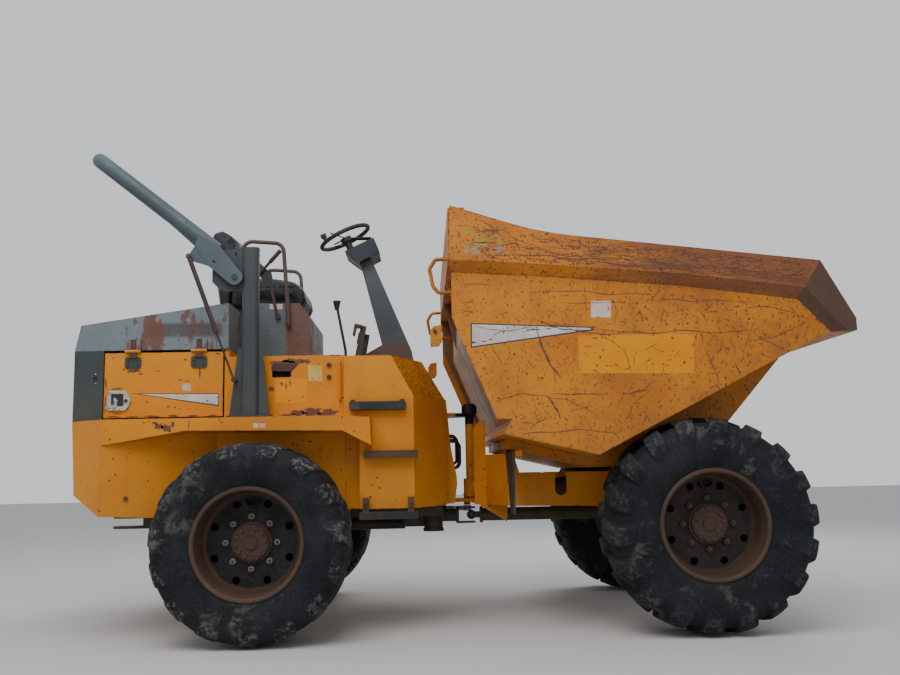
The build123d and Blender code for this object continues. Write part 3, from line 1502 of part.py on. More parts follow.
# Grab hoops on both sides of the seat, welded to the seat box with short feet.
GRAB_Y = 420.0
GRAB_R = 12.5
with BuildPart() as grab_hoops:
    for side in (1, -1):
        with BuildLine(REAR_SIDE.offset(side * GRAB_Y)) as grab_path:
            FilletPolyline(
                (106, 1800), (97, 1945), (70, 2315), (-185, 2335), (-160, 1890), radius=60
            )
        with BuildSketch(Plane(origin=grab_path.line @ 0, z_dir=grab_path.line % 0)):
            Circle(GRAB_R)
        sweep(path=grab_path.line)
        with BuildSketch(REAR_SIDE.offset(side * SEAT_BOX_Y)):
            with Locations((105, 1815), (-161, 1905)):
                Rectangle(22, 60)
        extrude(amount=side * (GRAB_Y - SEAT_BOX_Y))
grab_hoops.part.label = "grab_hoops"
export_step(grab_hoops.part, "parts/grab_hoops.step")

# Steering column with its flared foot and the dash box, then the tilted wheel with its knob.
COLUMN_X = DECK_FRONT_X - 42.0
WHEEL_TILT = 24.9
WHEEL_Z = 2456.0
STEER_WHEEL_R = 169.0
with BuildPart() as steering_column:
    with BuildSketch(REAR_SIDE):
        with BuildLine():
            Polyline(
                (COLUMN_X - 354, 2262),
                (COLUMN_X - 280, 2290),
                (COLUMN_X - 20, 1665),
                (COLUMN_X, DECK_Z),
                (COLUMN_X - 340, DECK_Z),
                (COLUMN_X - 320, 1653),
                (COLUMN_X - 214, 1712),
                close=True,
            )
        make_face()
    extrude(amount=85, both=True)
    with BuildSketch(REAR_SIDE):
        with BuildLine():
            Polyline(
                (COLUMN_X - 449, 2327),
                (COLUMN_X - 261, 2417),
                (COLUMN_X - 223, 2324),
                (COLUMN_X - 352, 2252),
                close=True,
            )
        make_face()
    extrude(amount=150, both=True)
steering_column.part.label = "steering_column"
export_step(steering_column.part, "parts/steering_column.step")

WHEEL_CENTRE = Vector(REAR_AXLE_X + COLUMN_X - 458, 0, WHEEL_Z)
WHEEL_AXIS = Vector(-math.sin(math.radians(WHEEL_TILT)), 0, math.cos(math.radians(WHEEL_TILT)))
STEER_WHEEL = Plane(origin=WHEEL_CENTRE, x_dir=(0, 1, 0), z_dir=WHEEL_AXIS)
with BuildPart() as steering_wheel:
    with BuildSketch(STEER_WHEEL.offset(-119.7)):
        Circle(24)
    extrude(amount=84)
    with BuildSketch(STEER_WHEEL.offset(-36)):
        Circle(38)
    extrude(amount=30)
    for angle in (30, 150, 270):
        spoke = STEER_WHEEL.offset(-14).rotated((0, 0, angle))
        with BuildSketch(spoke):
            with Locations((STEER_WHEEL_R / 2, 0)):
                Rectangle(STEER_WHEEL_R, 26)
        extrude(amount=8)
    with BuildSketch(Plane(origin=WHEEL_CENTRE, x_dir=WHEEL_AXIS.cross(Vector(0, 1, 0)), z_dir=(0, 1, 0))) as ring:
        with Locations((STEER_WHEEL_R, 0)):
            Circle(14)
    revolve(axis=Axis(WHEEL_CENTRE, WHEEL_AXIS))
    with BuildSketch(STEER_WHEEL):
        with Locations((-110, 128)):
            Circle(12)
    extrude(amount=30)
    with BuildSketch(STEER_WHEEL.offset(28)):
        with Locations((-110, 128)):
            Circle(20)
    extrude(amount=24)
steering_wheel.part.label = "steering_wheel"
export_step(steering_wheel.part, "parts/steering_wheel.step")

# Hoses: loops that leave and return to the nose plate, free of the turning head.
HOSES = (
    # offset across, low end, high end, reach, radius
    (-104, 905, 1075, 78, 10),
    (-76, 935, 1105, 64, 9),
    (76, 905, 1090, 78, 10),
    (104, 930, 1120, 64, 9),
)
with BuildPart() as hoses:
    for y, low, high, reach, radius in HOSES:
        start_x = NOSE_X + 20 + PAINT_GAP
        with BuildLine(REAR_SIDE.offset(-y)) as hose_path:
            FilletPolyline(
                (start_x, low),
                (start_x + reach, low),
                (start_x + reach, high),
                (start_x, high),
                radius=reach / 2,
            )
        with BuildSketch(Plane(origin=hose_path.line @ 0, z_dir=hose_path.line % 0)):
            Circle(radius)
        sweep(path=hose_path.line)
hoses.part.label = "hoses"
export_step(hoses.part, "parts/hoses.step")

# Tow hitch under the tail: a block with a jaw of two plates bored for a drop pin.
HITCH_X = -1008.0
HITCH_Z = 605.0
HITCH_BORE_R = 16.5
HITCH_JAW = 24.0
HITCH_PLATE = 16.0
with BuildPart() as tow_hitch:
    for low in (HITCH_Z + HITCH_JAW, HITCH_Z - HITCH_JAW - HITCH_PLATE):
        with BuildSketch(REAR_PLAN.offset(low)):
            with Locations(((HITCH_X - 745) / 2, 0)):
                Rectangle(-745 - HITCH_X, 110)
            with Locations((HITCH_X, 0)):
                Circle(55)
            with Locations((HITCH_X, 0)):
                Circle(HITCH_BORE_R, mode=Mode.SUBTRACT)
        extrude(amount=HITCH_PLATE)
    with BuildSketch(REAR_SIDE):
        with BuildLine():
            Polyline(
                (-860, HITCH_Z - HITCH_JAW),
                (-860, HITCH_Z + HITCH_JAW),
                (-820, HITCH_Z + HITCH_JAW + HITCH_PLATE),
                (-820, 679.1 - PAINT_GAP),
                (-745, 674.3 - PAINT_GAP),
                (-745, HITCH_Z - HITCH_JAW),
                close=True,
            )
        make_face()
    extrude(amount=55, both=True)
tow_hitch.part.label = "tow_hitch"
export_step(tow_hitch.part, "parts/tow_hitch.step")
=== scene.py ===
import math

import bmesh
import bpy
import numpy as np
from mathutils import Matrix


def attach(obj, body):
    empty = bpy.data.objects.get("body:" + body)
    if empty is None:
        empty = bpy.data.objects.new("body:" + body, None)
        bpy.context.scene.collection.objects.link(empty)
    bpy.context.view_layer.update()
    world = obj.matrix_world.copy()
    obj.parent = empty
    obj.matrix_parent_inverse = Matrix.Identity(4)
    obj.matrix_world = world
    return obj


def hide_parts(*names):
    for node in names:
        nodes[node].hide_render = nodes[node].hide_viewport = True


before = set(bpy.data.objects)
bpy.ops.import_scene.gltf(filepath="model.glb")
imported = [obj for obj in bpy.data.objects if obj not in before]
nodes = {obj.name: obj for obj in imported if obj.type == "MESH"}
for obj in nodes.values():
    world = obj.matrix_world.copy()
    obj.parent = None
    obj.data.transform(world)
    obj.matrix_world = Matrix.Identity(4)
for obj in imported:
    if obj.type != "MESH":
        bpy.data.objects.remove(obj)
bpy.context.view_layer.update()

# Where the photographer stood: beside the machine's middle, about waist high, looking slightly up
# with the camera turned a little clockwise. Metres and radians, in the frame of the solids.
EYE = np.array([-0.2060, -6.1791, 0.8865])
YAW, PITCH, ROLL = 0.0323, 0.1412, -0.0205
FOCAL_PIXELS = 939.7
PICTURE_PIXELS = 900.0
SENSOR_WIDTH = 36.0


def placed(across, up, back, place):
    """The matrix of an object whose own x, y and z point across, up and back, at that place."""
    turned = np.eye(4)
    turned[:3, 0], turned[:3, 1], turned[:3, 2], turned[:3, 3] = across, up, back, place
    return Matrix(turned.tolist())


forward = np.array([math.sin(YAW) * math.cos(PITCH), math.cos(YAW) * math.cos(PITCH), math.sin(PITCH)])
level = np.array([math.cos(YAW), -math.sin(YAW), 0.0])
upward = np.cross(level, forward)
right = level * math.cos(ROLL) + upward * math.sin(ROLL)
above = upward * math.cos(ROLL) - level * math.sin(ROLL)
camera_data = bpy.data.cameras.new("view")
camera_data.sensor_width = SENSOR_WIDTH
camera_data.lens = SENSOR_WIDTH * FOCAL_PIXELS / PICTURE_PIXELS
camera_data.clip_end = 200.0
camera = bpy.data.objects.new("view", camera_data)
bpy.context.scene.collection.objects.link(camera)
camera.matrix_world = placed(right, above, -forward, EYE)
bpy.context.scene.camera = camera


# Plain pale floor and a soft grey sky all round, with one broad lamp from above and the camera's
# side and a weaker one from the far side, as on an overcast day.
FLOOR_REACH = 30.0
FLOOR_TONE = (0.60, 0.60, 0.59, 1)
SKY_LIGHT, SKY_STRENGTH = (0.93, 0.96, 1.0, 1), 0.62
SKY_SEEN = (0.80, 0.82, 0.84, 1)
LAMPS = (
    # name, place, watts, width
    ("high_lamp", (-1.5, -4.5, 6.5), 330.0, 5.0),
    ("far_lamp", (2.5, 5.0, 6.0), 200.0, 5.0),
)
LAMP_TONE = (1.0, 0.98, 0.95)
LAMP_TARGET = np.array([0.0, 0.0, 1.0])


def quad_mesh(name, points, faces):
    """A mesh from an array of points and an array of faces, shaded flat."""
    mesh = bpy.data.meshes.new(name)
    mesh.from_pydata(np.asarray(points, float).tolist(), [], np.asarray(faces, int).tolist())
    mesh.update()
    piece = bpy.data.objects.new(name, mesh)
    bpy.context.scene.collection.objects.link(piece)
    return piece


def plug(tree, node, **inputs):
    """Gives a node its inputs, as values or other nodes' sockets; i0, i1 and i2 are inputs by number."""
    for key, value in inputs.items():
        index = int(key[1:]) if key[0] == "i" and key[1:].isdigit() else key.replace("_", " ")
        if isinstance(value, bpy.types.NodeSocket):
            tree.links.new(value, node.inputs[index])
        else:
            node.inputs[index].default_value = value


def wire(tree, kind, settings=None, **inputs):
    """A new node of that kind, with its settings made and its inputs plugged in."""
    node = tree.nodes.new(kind)
    for key, value in (settings or {}).items():
        setattr(node, key, value)
    plug(tree, node, **inputs)
    return node


floor = quad_mesh("floor", [(-FLOOR_REACH, -FLOOR_REACH, 0), (FLOOR_REACH, -FLOOR_REACH, 0),
                            (FLOOR_REACH, FLOOR_REACH, 0), (-FLOOR_REACH, FLOOR_REACH, 0)], [(0, 1, 2, 3)])
floor_coat = bpy.data.materials.new("floor")
floor_coat.use_nodes = True
floor_tree = floor_coat.node_tree
plug(floor_tree, floor_tree.nodes["Principled BSDF"], Base_Color=FLOOR_TONE, Roughness=0.9)
floor.data.materials.append(floor_coat)

world = bpy.data.worlds.new("sky")
world.use_nodes = True
bpy.context.scene.world = world
sky = world.node_tree
sky.nodes.clear()
ray = sky.nodes.new("ShaderNodeLightPath").outputs
glow = wire(sky, "ShaderNodeBackground", Color=SKY_LIGHT, Strength=SKY_STRENGTH)
seen = wire(sky, "ShaderNodeBackground", Color=SKY_SEEN, Strength=1.0)
direct = wire(sky, "ShaderNodeMath", {"operation": "MAXIMUM"}, i0=ray["Is Camera Ray"],
              i1=ray["Is Glossy Ray"])
direct = wire(sky, "ShaderNodeMath", {"operation": "MAXIMUM"}, i0=direct.outputs[0],
              i1=ray["Is Transmission Ray"])
blend_sky = wire(sky, "ShaderNodeMixShader", i0=direct.outputs[0], i1=glow.outputs[0], i2=seen.outputs[0])
wire(sky, "ShaderNodeOutputWorld", Surface=blend_sky.outputs[0])

for lamp_name, place, power, width in LAMPS:
    lamp = bpy.data.lights.new(lamp_name, "AREA")
    lamp.energy = power
    lamp.size = width
    lamp.color = LAMP_TONE
    holder = bpy.data.objects.new(lamp_name, lamp)
    bpy.context.scene.collection.objects.link(holder)
    aim = LAMP_TARGET - np.array(place)
    aim = aim / np.linalg.norm(aim)
    across = np.cross([0.0, 0.0, 1.0], -aim)
    across = across / np.linalg.norm(across)
    holder.matrix_world = placed(across, np.cross(-aim, across), -aim, place)


# Pressed and folded body plates of the rear half and the front frame, sprayed orange over primer. The
# paint has faded unevenly, is scratched to primer, dusty low down and rusty along its edges. The hand
# slot's inside is painted shade, near black, and the pin's cap is near black; the deck's front corner is
# chequered and rubbed brown.
ORANGE = (0.68, 0.248, 0.006)
ORANGE_FADED = (0.56, 0.185, 0.006)
# where the inside of the hand slot gets painted shade, near black
SLOT_X, SLOT_Z = ((-1.060, -1.057), (-0.942, -0.945)), ((1.433, 1.436), (1.519, 1.516))
SLOT_FLOOR = (0.7966, 0.7962)
PIN_CAP_X, PIN_CAP_REACH, PIN_CAP_Z = ((0.010, 0.020), (0.220, 0.200)), (0.10, 0.09), (1.185, 1.192)
CORNER_X, CORNER_Z, CORNER_SLOPE = (-0.385, -0.375), (1.30, 1.32), ((0.10, 0.20), (0.97, 0.93))


def shader(name):
    """A new material, its node tree, its Principled shader and the coordinates of the solids."""
    coat = bpy.data.materials.new(name)
    coat.use_nodes = True
    tree = coat.node_tree
    place = tree.nodes.new("ShaderNodeTexCoord").outputs["Object"]
    return coat, tree, tree.nodes["Principled BSDF"], place


def grain(tree, vector, scale, detail=4.0, rough=0.55, warp=0.0):
    """Fractal noise of that scale over the piece, from 0 to 1."""
    return wire(tree, "ShaderNodeTexNoise", Vector=vector, Scale=scale, Detail=detail, Roughness=rough,
                Distortion=warp).outputs["Fac"]


def step(tree, value, low, high, out_low=0.0, out_high=1.0):
    """A smooth step: out_low below low, out_high above high, and a soft ramp between."""
    return wire(tree, "ShaderNodeMapRange", {"interpolation_type": "SMOOTHSTEP"}, Value=value,
                From_Min=low, From_Max=high, To_Min=out_low, To_Max=out_high).outputs[0]


def times(tree, a, b, operation="MULTIPLY"):
    """Two values put together by one sum, held between 0 and 1."""
    return wire(tree, "ShaderNodeMath", {"operation": operation, "use_clamp": True}, i0=a, i1=b).outputs[0]


def band(tree, value, rise, fall):
    """1 in the middle and 0 outside; rise and fall each say where it is 0 and where it is 1."""
    return times(tree, step(tree, value, *rise), step(tree, value, *fall))


def sloped(tree, a, b, gain):
    """One value plus another times a gain, not held between limits."""
    return wire(tree, "ShaderNodeMath", {"operation": "MULTIPLY_ADD"}, i0=b, i1=gain, i2=a).outputs[0]


def unsigned(tree, value):
    """The value without its sign."""
    return wire(tree, "ShaderNodeMath", {"operation": "ABSOLUTE"}, i0=value).outputs[0]


def split(tree, vector):
    """The three parts of a vector, X, Y and Z."""
    return wire(tree, "ShaderNodeSeparateXYZ", Vector=vector).outputs


def facing(tree):
    """Which way the surface looks there, as three parts in the frame of the solids."""
    return split(tree, tree.nodes.new("ShaderNodeTexCoord").outputs["Normal"])


def mix(tree, share, a, b):
    """Colour a, going over to colour b by that share."""
    node = tree.nodes.new("ShaderNodeMix")
    node.data_type = "RGBA"
    for socket, value in ((node.inputs[0], share), (node.inputs[6], a), (node.inputs[7], b)):
        if isinstance(value, bpy.types.NodeSocket):
            tree.links.new(value, socket)
        else:
            socket.default_value = value if socket is node.inputs[0] else (*value, 1.0)
    return node.outputs[2]


def squeezed(tree, vector, scales, turn=(0.0, 0.0, 0.0)):
    """The same coordinates, turned and stretched, so a round noise becomes long streaks."""
    return wire(tree, "ShaderNodeMapping", {"vector_type": "POINT"}, Vector=vector, Scale=scales,
                Rotation=turn).outputs[0]


def dented(tree, out, strength, distance, height):
    """Bends the light on the finish as if that height, times a distance in metres, stood out of it."""
    dent = wire(tree, "ShaderNodeBump", Strength=strength, Distance=distance, Height=height)
    plug(tree, out, Normal=dent.outputs[0])


def edge_wear(tree, radius, vector):
    """How sharply the surface bends near here, broken up by noise: 1 on a worn edge."""
    soft = wire(tree, "ShaderNodeBevel", {"samples": 4}, Radius=radius).outputs[0]
    flat = tree.nodes.new("ShaderNodeNewGeometry").outputs["True Normal"]
    bend = wire(tree, "ShaderNodeVectorMath", {"operation": "DOT_PRODUCT"}, i0=soft, i1=flat).outputs["Value"]
    raw = step(tree, bend, 0.995, 0.86)
    return times(tree, raw, step(tree, grain(tree, vector, 22.0, 5.0, 0.7), 0.42, 0.62))


def pits(tree, place, scale, share, size):
    """Paint chips: round cells of a cell noise, a share of them, each up to that size in cells."""
    bent = wire(tree, "ShaderNodeTexNoise", Vector=place, Scale=scale * 1.3, Detail=5.0).outputs["Color"]
    moved = wire(tree, "ShaderNodeVectorMath", {"operation": "MULTIPLY_ADD"}, i0=bent,
                 i1=(1.5 / scale, 1.5 / scale, 1.5 / scale), i2=place).outputs[0]
    cells = wire(tree, "ShaderNodeTexVoronoi", {"feature": "F1"}, Vector=moved, Scale=scale)
    lot = wire(tree, "ShaderNodeSeparateColor", Color=cells.outputs["Color"]).outputs[0]
    wide = step(tree, lot, 1.0 - share, 1.0, 0.0, size)
    left = sloped(tree, wide, cells.outputs["Distance"], -1.0)
    return step(tree, left, 0.0, 0.05)


def worn_enamel(name, fresh, faded, rust=0.5, pitted=0.1, soiled=0.5, edge=0.008, gloss=0.46,
                dust_top=0.75, last_coat=None):
    """Sprayed enamel: two shades in clouds, runs and dust low down, chips, rusty edges and patches."""
    coat, tree, out, place = shader(name)
    cloud = step(tree, grain(tree, place, 1.7, 6.0, 0.62), 0.34, 0.70)
    colour = mix(tree, cloud, fresh, faded)
    stain = step(tree, grain(tree, squeezed(tree, place, (9, 9, 0.9)), 1.0, 5.0, 0.65), 0.54, 0.82)
    colour = mix(tree, times(tree, stain, 0.36 * soiled), colour, (0.12, 0.055, 0.014))
    mottle = grain(tree, place, 42.0, 4.0, 0.7)
    colour = mix(tree, times(tree, step(tree, mottle, 0.50, 0.85), 0.22), colour, (0.22, 0.10, 0.030))
    low = step(tree, split(tree, place)["Z"], dust_top + 0.35, dust_top - 0.25)
    dust = times(tree, low, step(tree, grain(tree, place, 6.0, 6.0, 0.7), 0.30, 0.72))
    colour = mix(tree, times(tree, dust, 0.50 * soiled), colour, (0.16, 0.115, 0.065))
    chip_level = 0.715 - 0.055 * rust
    chips = step(tree, grain(tree, place, 19.0, 7.0, 0.72), chip_level, chip_level + 0.020)
    patch = step(tree, grain(tree, place, 2.6, 5.0, 0.66), 0.50, 0.64)
    spots = times(tree, pits(tree, place, 76.0, pitted, 0.46), pits(tree, place, 40.0, 0.25 * pitted, 0.38),
                  "MAXIMUM")
    bare = times(tree, times(tree, chips, patch), edge_wear(tree, edge, place), "MAXIMUM")
    bare = times(tree, bare, spots, "MAXIMUM")
    rust_tone = mix(tree, grain(tree, place, 60.0, 3.0), (0.062, 0.020, 0.012), (0.17, 0.062, 0.024))
    colour = mix(tree, bare, colour, rust_tone)
    if last_coat is not None:
        colour = last_coat(tree, place, colour)
    rough = step(tree, grain(tree, place, 8.0, 5.0), 0.25, 0.8, gloss - 0.08, gloss + 0.22)
    rough = times(tree, rough, times(tree, bare, 0.4), "ADD")
    plug(tree, out, Base_Color=colour, Roughness=rough, Specular_IOR_Level=0.32)
    dented(tree, out, 0.35, 0.002, sloped(tree, mottle, times(tree, bare, 0.5), -1.0))
    return coat


def paint(coat, *names):
    """Gives those solids this finish in every slot."""
    for name in names:
        slots = nodes[name].data.materials
        if len(slots) == 0:
            slots.append(coat)
        for index in range(len(slots)):
            slots[index] = coat


def slot_shade_cap_and_checks(tree, place, colour):
    """Painted shade, near black, in the hand slot; near black on the pin's cap; brown checks on the corner.
    """
    x, y, z = split(tree, place)
    away = unsigned(tree, y)
    # painted shade: the slot's inside, behind the body side, is made near black
    slot = times(tree, band(tree, x, *SLOT_X), band(tree, z, *SLOT_Z))
    slot = times(tree, slot, step(tree, away, *SLOT_FLOOR))
    cap = times(tree, band(tree, x, *PIN_CAP_X), step(tree, away, *PIN_CAP_REACH))
    cap = times(tree, cap, step(tree, z, *PIN_CAP_Z))
    corner = times(tree, times(tree, step(tree, x, *CORNER_X), step(tree, z, *CORNER_Z)),
                   band(tree, facing(tree)["Z"], *CORNER_SLOPE))
    checks = times(tree, step(tree, grain(tree, place, 95.0, 2.0, 0.5), 0.44, 0.54),
                   step(tree, grain(tree, place, 7.0, 4.0), 0.30, 0.50, 0.35, 1.0))
    colour = mix(tree, times(tree, corner, times(tree, checks, 0.85)), colour, (0.150, 0.056, 0.016))
    return mix(tree, times(tree, slot, cap, "MAXIMUM"), colour, (0.012, 0.011, 0.011))


body_orange = worn_enamel("body_orange", ORANGE, ORANGE_FADED, rust=0.45, pitted=0.03, soiled=0.5,
                          last_coat=slot_shade_cap_and_checks)
paint(body_orange, "rear_body", "tank_housing", "operator_body", "engine_door_left", "engine_door_right",
      "front_chassis", "centre_bracket", "pivot_head")


# The grey hood over the engine: folded sheet whose paint has flaked off in broad rusty patches, with
# a long dark strip rubbed along the middle of each side and its lower edge in the body's orange.
HOOD_STRIP_X, HOOD_STRIP_Z = ((-1.83, -1.72), (-1.30, -1.38)), ((1.665, 1.695), (1.775, 1.745))
HOOD_ORANGE_EDGE = (1.6055, 1.6035)


def flaked_hood(tree, place, colour):
    """Rust in broad patches with runs below, and a dark rubbed strip between two heights."""
    parts = split(tree, place)
    strip = times(tree, band(tree, parts["Z"], *HOOD_STRIP_Z), band(tree, parts["X"], *HOOD_STRIP_X))
    rubbed = times(tree, strip, step(tree, grain(tree, place, 7.0, 6.0, 0.7), 0.26, 0.44))
    colour = mix(tree, times(tree, rubbed, 0.85), colour, (0.064, 0.050, 0.055))
    runs = grain(tree, squeezed(tree, place, (6.0, 6.0, 2.2)), 1.1, 7.0, 0.72)
    flaked = step(tree, runs, 0.565, 0.600)
    tone = mix(tree, grain(tree, place, 30.0, 5.0, 0.7), (0.080, 0.030, 0.018), (0.19, 0.080, 0.046))
    colour = mix(tree, times(tree, flaked, 0.88), colour, tone)
    return mix(tree, step(tree, parts["Z"], *HOOD_ORANGE_EDGE), colour, ORANGE)


hood_grey = worn_enamel("hood_grey", (0.165, 0.205, 0.225), (0.110, 0.145, 0.165), rust=1.4, pitted=0.05,
                        soiled=0.6, edge=0.014, dust_top=1.2, last_coat=flaked_hood)
paint(hood_grey, "hood")


# The seat box: the same folded grey sheet, welded to the deck. Its front corner is rusted brown where
# boots rub it, and its front is black with grease.
BOX_RUST_LINE = (-0.965, -0.940)
BOX_FRONT_X = (-1.00, -0.99)


def booted_corner(tree, place, colour):
    """Brown rust from a line near the front edge forward, broken up by noise; a black front."""
    parts = split(tree, place)
    ahead = sloped(tree, parts["X"], grain(tree, place, 9.0, 7.0, 0.75), 0.16)
    tone = mix(tree, grain(tree, place, 24.0, 6.0, 0.7), (0.070, 0.026, 0.018), (0.21, 0.105, 0.070))
    colour = mix(tree, times(tree, step(tree, ahead, *BOX_RUST_LINE), 0.86), colour, tone)
    front = times(tree, step(tree, facing(tree)["X"], 0.25, 0.35), step(tree, parts["X"], *BOX_FRONT_X))
    return mix(tree, front, colour, (0.016, 0.016, 0.018))


box_grey = worn_enamel("box_grey", (0.140, 0.180, 0.200), (0.095, 0.128, 0.148), rust=1.0, pitted=0.04,
                       soiled=0.6, edge=0.010, dust_top=1.2, last_coat=booted_corner)
paint(box_grey, "seat_box")


# The roll frame and its posts, the cooler housing and the steering column: thick dark slate paint,
# rusty only at edges and welds. The folded hoop has faded paler than the posts, and the dash box on
# the column's upper end is navy.
COLUMN_FOOT = (1.63, 1.56)
DASH_LEAN, DASH_LEVEL = -0.558, (2.580, 2.583)


def dash_box(tree, place, colour):
    """Navy on the dash box above the column's upper end, rusty brown at the column's foot."""
    parts = split(tree, place)
    foot = step(tree, sloped(tree, parts["Z"], grain(tree, place, 9.0, 6.0, 0.7), -0.30), *COLUMN_FOOT)
    colour = mix(tree, times(tree, foot, 0.8), colour, (0.095, 0.055, 0.040))
    dash = step(tree, sloped(tree, parts["Z"], parts["X"], DASH_LEAN), *DASH_LEVEL)
    return mix(tree, dash, colour, (0.022, 0.030, 0.044))


column_slate = worn_enamel("column_slate", (0.070, 0.098, 0.112), (0.040, 0.058, 0.072), rust=1.0,
                           pitted=0.10, soiled=0.5, edge=0.008, dust_top=1.0, last_coat=dash_box)
paint(column_slate, "steering_column")
hoop_grey = worn_enamel("hoop_grey", (0.086, 0.122, 0.138), (0.060, 0.086, 0.100), rust=0.6, pitted=0.04,
                        soiled=0.4, edge=0.006, dust_top=1.0)
paint(hoop_grey, "rops_hoop")
post_grey = worn_enamel("post_grey", (0.034, 0.047, 0.051), (0.052, 0.064, 0.064), rust=0.9, pitted=0.04,
                        soiled=0.7, edge=0.008, dust_top=1.2)
paint(post_grey, "rops_posts", "cooler_housing")


# Steel parts underneath and between the halves, cast or welded: some dark with old grease and mud,
# some brown with rust. The struts and grab hoops are tube, and the rams' rods are ground bright.
greasy_dark = worn_enamel("greasy_dark", (0.020, 0.019, 0.018), (0.050, 0.042, 0.034), rust=1.0, pitted=0.0,
                          soiled=0.9, edge=0.006, gloss=0.5, dust_top=1.0)
paint(greasy_dark, "rear_chassis", "gearbox", "tow_hitch", "front_shaft", "tip_ram_barrel",
      "steer_ram_barrel", "engine_block", "radiator", "controls")
grab_brown = worn_enamel("grab_brown", (0.105, 0.080, 0.076), (0.070, 0.040, 0.034), rust=1.2, pitted=0.0,
                         soiled=0.4, edge=0.003)
paint(grab_brown, "grab_hoops")
rusty_iron = worn_enamel("rusty_iron", (0.100, 0.046, 0.030), (0.052, 0.026, 0.020), rust=1.6, pitted=0.0,
                         soiled=0.8, edge=0.01, gloss=0.6, dust_top=0.9)
paint(rusty_iron, "rear_axle", "front_axle", "steps")
strut_dark = worn_enamel("strut_dark", (0.036, 0.026, 0.025), (0.060, 0.032, 0.026), rust=1.0, pitted=0.0,
                         soiled=0.5, edge=0.003)
paint(strut_dark, "rops_strut_tubes", "rops_strut_rods")


def plated(name, light, dark, specks, sheen, metallic):
    """Metal in two tones: specks is a noise's scale and the level where the dark tone starts, sheen
    the scale of another and the two roughnesses that it goes between."""
    coat, tree, out, place = shader(name)
    tone = mix(tree, step(tree, grain(tree, place, specks[0], 5.0), specks[1], 0.7), light, dark)
    rough = step(tree, grain(tree, place, sheen[0], 3.0), 0.3, 0.8, *sheen[1:])
    plug(tree, out, Base_Color=tone, Roughness=rough, Metallic=metallic)
    return coat


bright_rod = plated("bright_rod", (0.45, 0.44, 0.42), (0.16, 0.12, 0.09), (30.0, 0.5), (55.0, 0.22, 0.5), 1.0)
paint(bright_rod, "tip_ram_rod", "steer_ram_rod")


# Rubber: the mud flaps, cut from sheet, the blocks that the skip rests on, the hoses and the steering
# wheel's grip, dull black with pale dust in patches.
old_rubber, rubber_tree, rubber_out, rubber_place = shader("old_rubber")
rubber_dust = step(rubber_tree, grain(rubber_tree, rubber_place, 7.0, 6.0, 0.7), 0.42, 0.72)
plug(rubber_tree, rubber_out, Roughness=0.72,
     Base_Color=mix(rubber_tree, rubber_dust, (0.014, 0.014, 0.015), (0.060, 0.055, 0.048)))
dented(rubber_tree, rubber_out, 0.3, 0.001, grain(rubber_tree, rubber_place, 90.0, 4.0))
paint(old_rubber, "rubber_parts", "hoses", "steering_wheel")


# The skip's plates: welded steel, pitted all over by stones, most of all towards the lip. The leaning
# wall behind has lost its paint, and the load has polished the inside to brown steel.
SKIP_ORANGE = (0.640, 0.232, 0.010)
SKIP_ORANGE_FADED = (0.470, 0.140, 0.010)
BARE_WALL_TOP, BARE_WALL_FOOT = (1.86, 1.74), (1.205, 1.215)
BOWL_HALF, BOWL_FLOOR = (1.1165, 1.1155), (0.93, 0.96)
BOWL_LEAN, BOWL_BACK = 0.429, (0.745, 0.755)


def stoned_plate(tree, place, colour):
    """Chips thicken towards the lip; faces that look back are bare and streaked down the slope, and
    faces that look into the bowl are brown."""
    x, y, z = split(tree, place)
    look_x, look_y, look_z = facing(tree)
    lipward = step(tree, sloped(tree, x, grain(tree, place, 2.4, 6.0, 0.7), 2.4), 1.3, 3.3)
    fine = pits(tree, squeezed(tree, place, (1.0, 1.0, 0.6)), 84.0, 0.55, 0.50)
    fine = times(tree, fine, step(tree, lipward, 0.0, 1.0, 0.55, 1.0))
    colour = mix(tree, fine, colour, (0.150, 0.048, 0.020))
    blush = step(tree, grain(tree, place, 5.0, 7.0, 0.74), 0.40, 0.66)
    blush = times(tree, blush, step(tree, lipward, 0.0, 1.0, 0.30, 0.62))
    colour = mix(tree, blush, colour, (0.270, 0.092, 0.024))
    streak = grain(tree, squeezed(tree, place, (2.0, 15.0, 1.3), (0.0, -0.42, 0.0)), 1.6, 7.0, 0.72)
    bare = mix(tree, step(tree, streak, 0.30, 0.72), (0.190, 0.112, 0.060), (0.640, 0.440, 0.250))
    under = step(tree, sloped(tree, z, grain(tree, place, 6.0, 6.0, 0.7), -0.3), *BARE_WALL_TOP)
    behind = times(tree, step(tree, look_x, -0.25, -0.45), under)
    behind = times(tree, behind, step(tree, z, *BARE_WALL_FOOT))
    colour = mix(tree, times(tree, behind, 0.92), colour, bare)
    loaded = times(tree, step(tree, unsigned(tree, y), *BOWL_HALF), step(tree, z, *BOWL_FLOOR))
    loaded = times(tree, loaded, step(tree, sloped(tree, x, z, BOWL_LEAN), *BOWL_BACK))
    inward = step(tree, sloped(tree, 0.0, y, look_y), -0.10, -0.30)
    open_side = step(tree, times(tree, look_z, look_x, "MAXIMUM"), 0.05, 0.15)
    loaded = times(tree, loaded, times(tree, open_side, inward, "MAXIMUM"))
    brown = mix(tree, grain(tree, place, 11.0, 7.0, 0.72), (0.070, 0.038, 0.024), (0.205, 0.130, 0.085))
    return mix(tree, times(tree, loaded, 0.85), colour, brown)


skip_orange = worn_enamel("skip_orange", SKIP_ORANGE, SKIP_ORANGE_FADED, rust=1.1, pitted=0.12, soiled=0.6,
                          edge=0.014, dust_top=1.10, last_coat=stoned_plate)
paint(skip_orange, "skip_shell")


# The skip's rim: a folded rail, rubbed to brown steel from the middle forward and bare at the lip, with
# a patch of an older green-yellow coat showing at its rear corner.
OLD_COAT_X, OLD_COAT_Z = ((0.03, 0.07), (0.27, 0.22)), ((2.04, 2.08), (2.24, 2.19))
MITRE_LEAN, MITRE_X = -0.633, -0.742


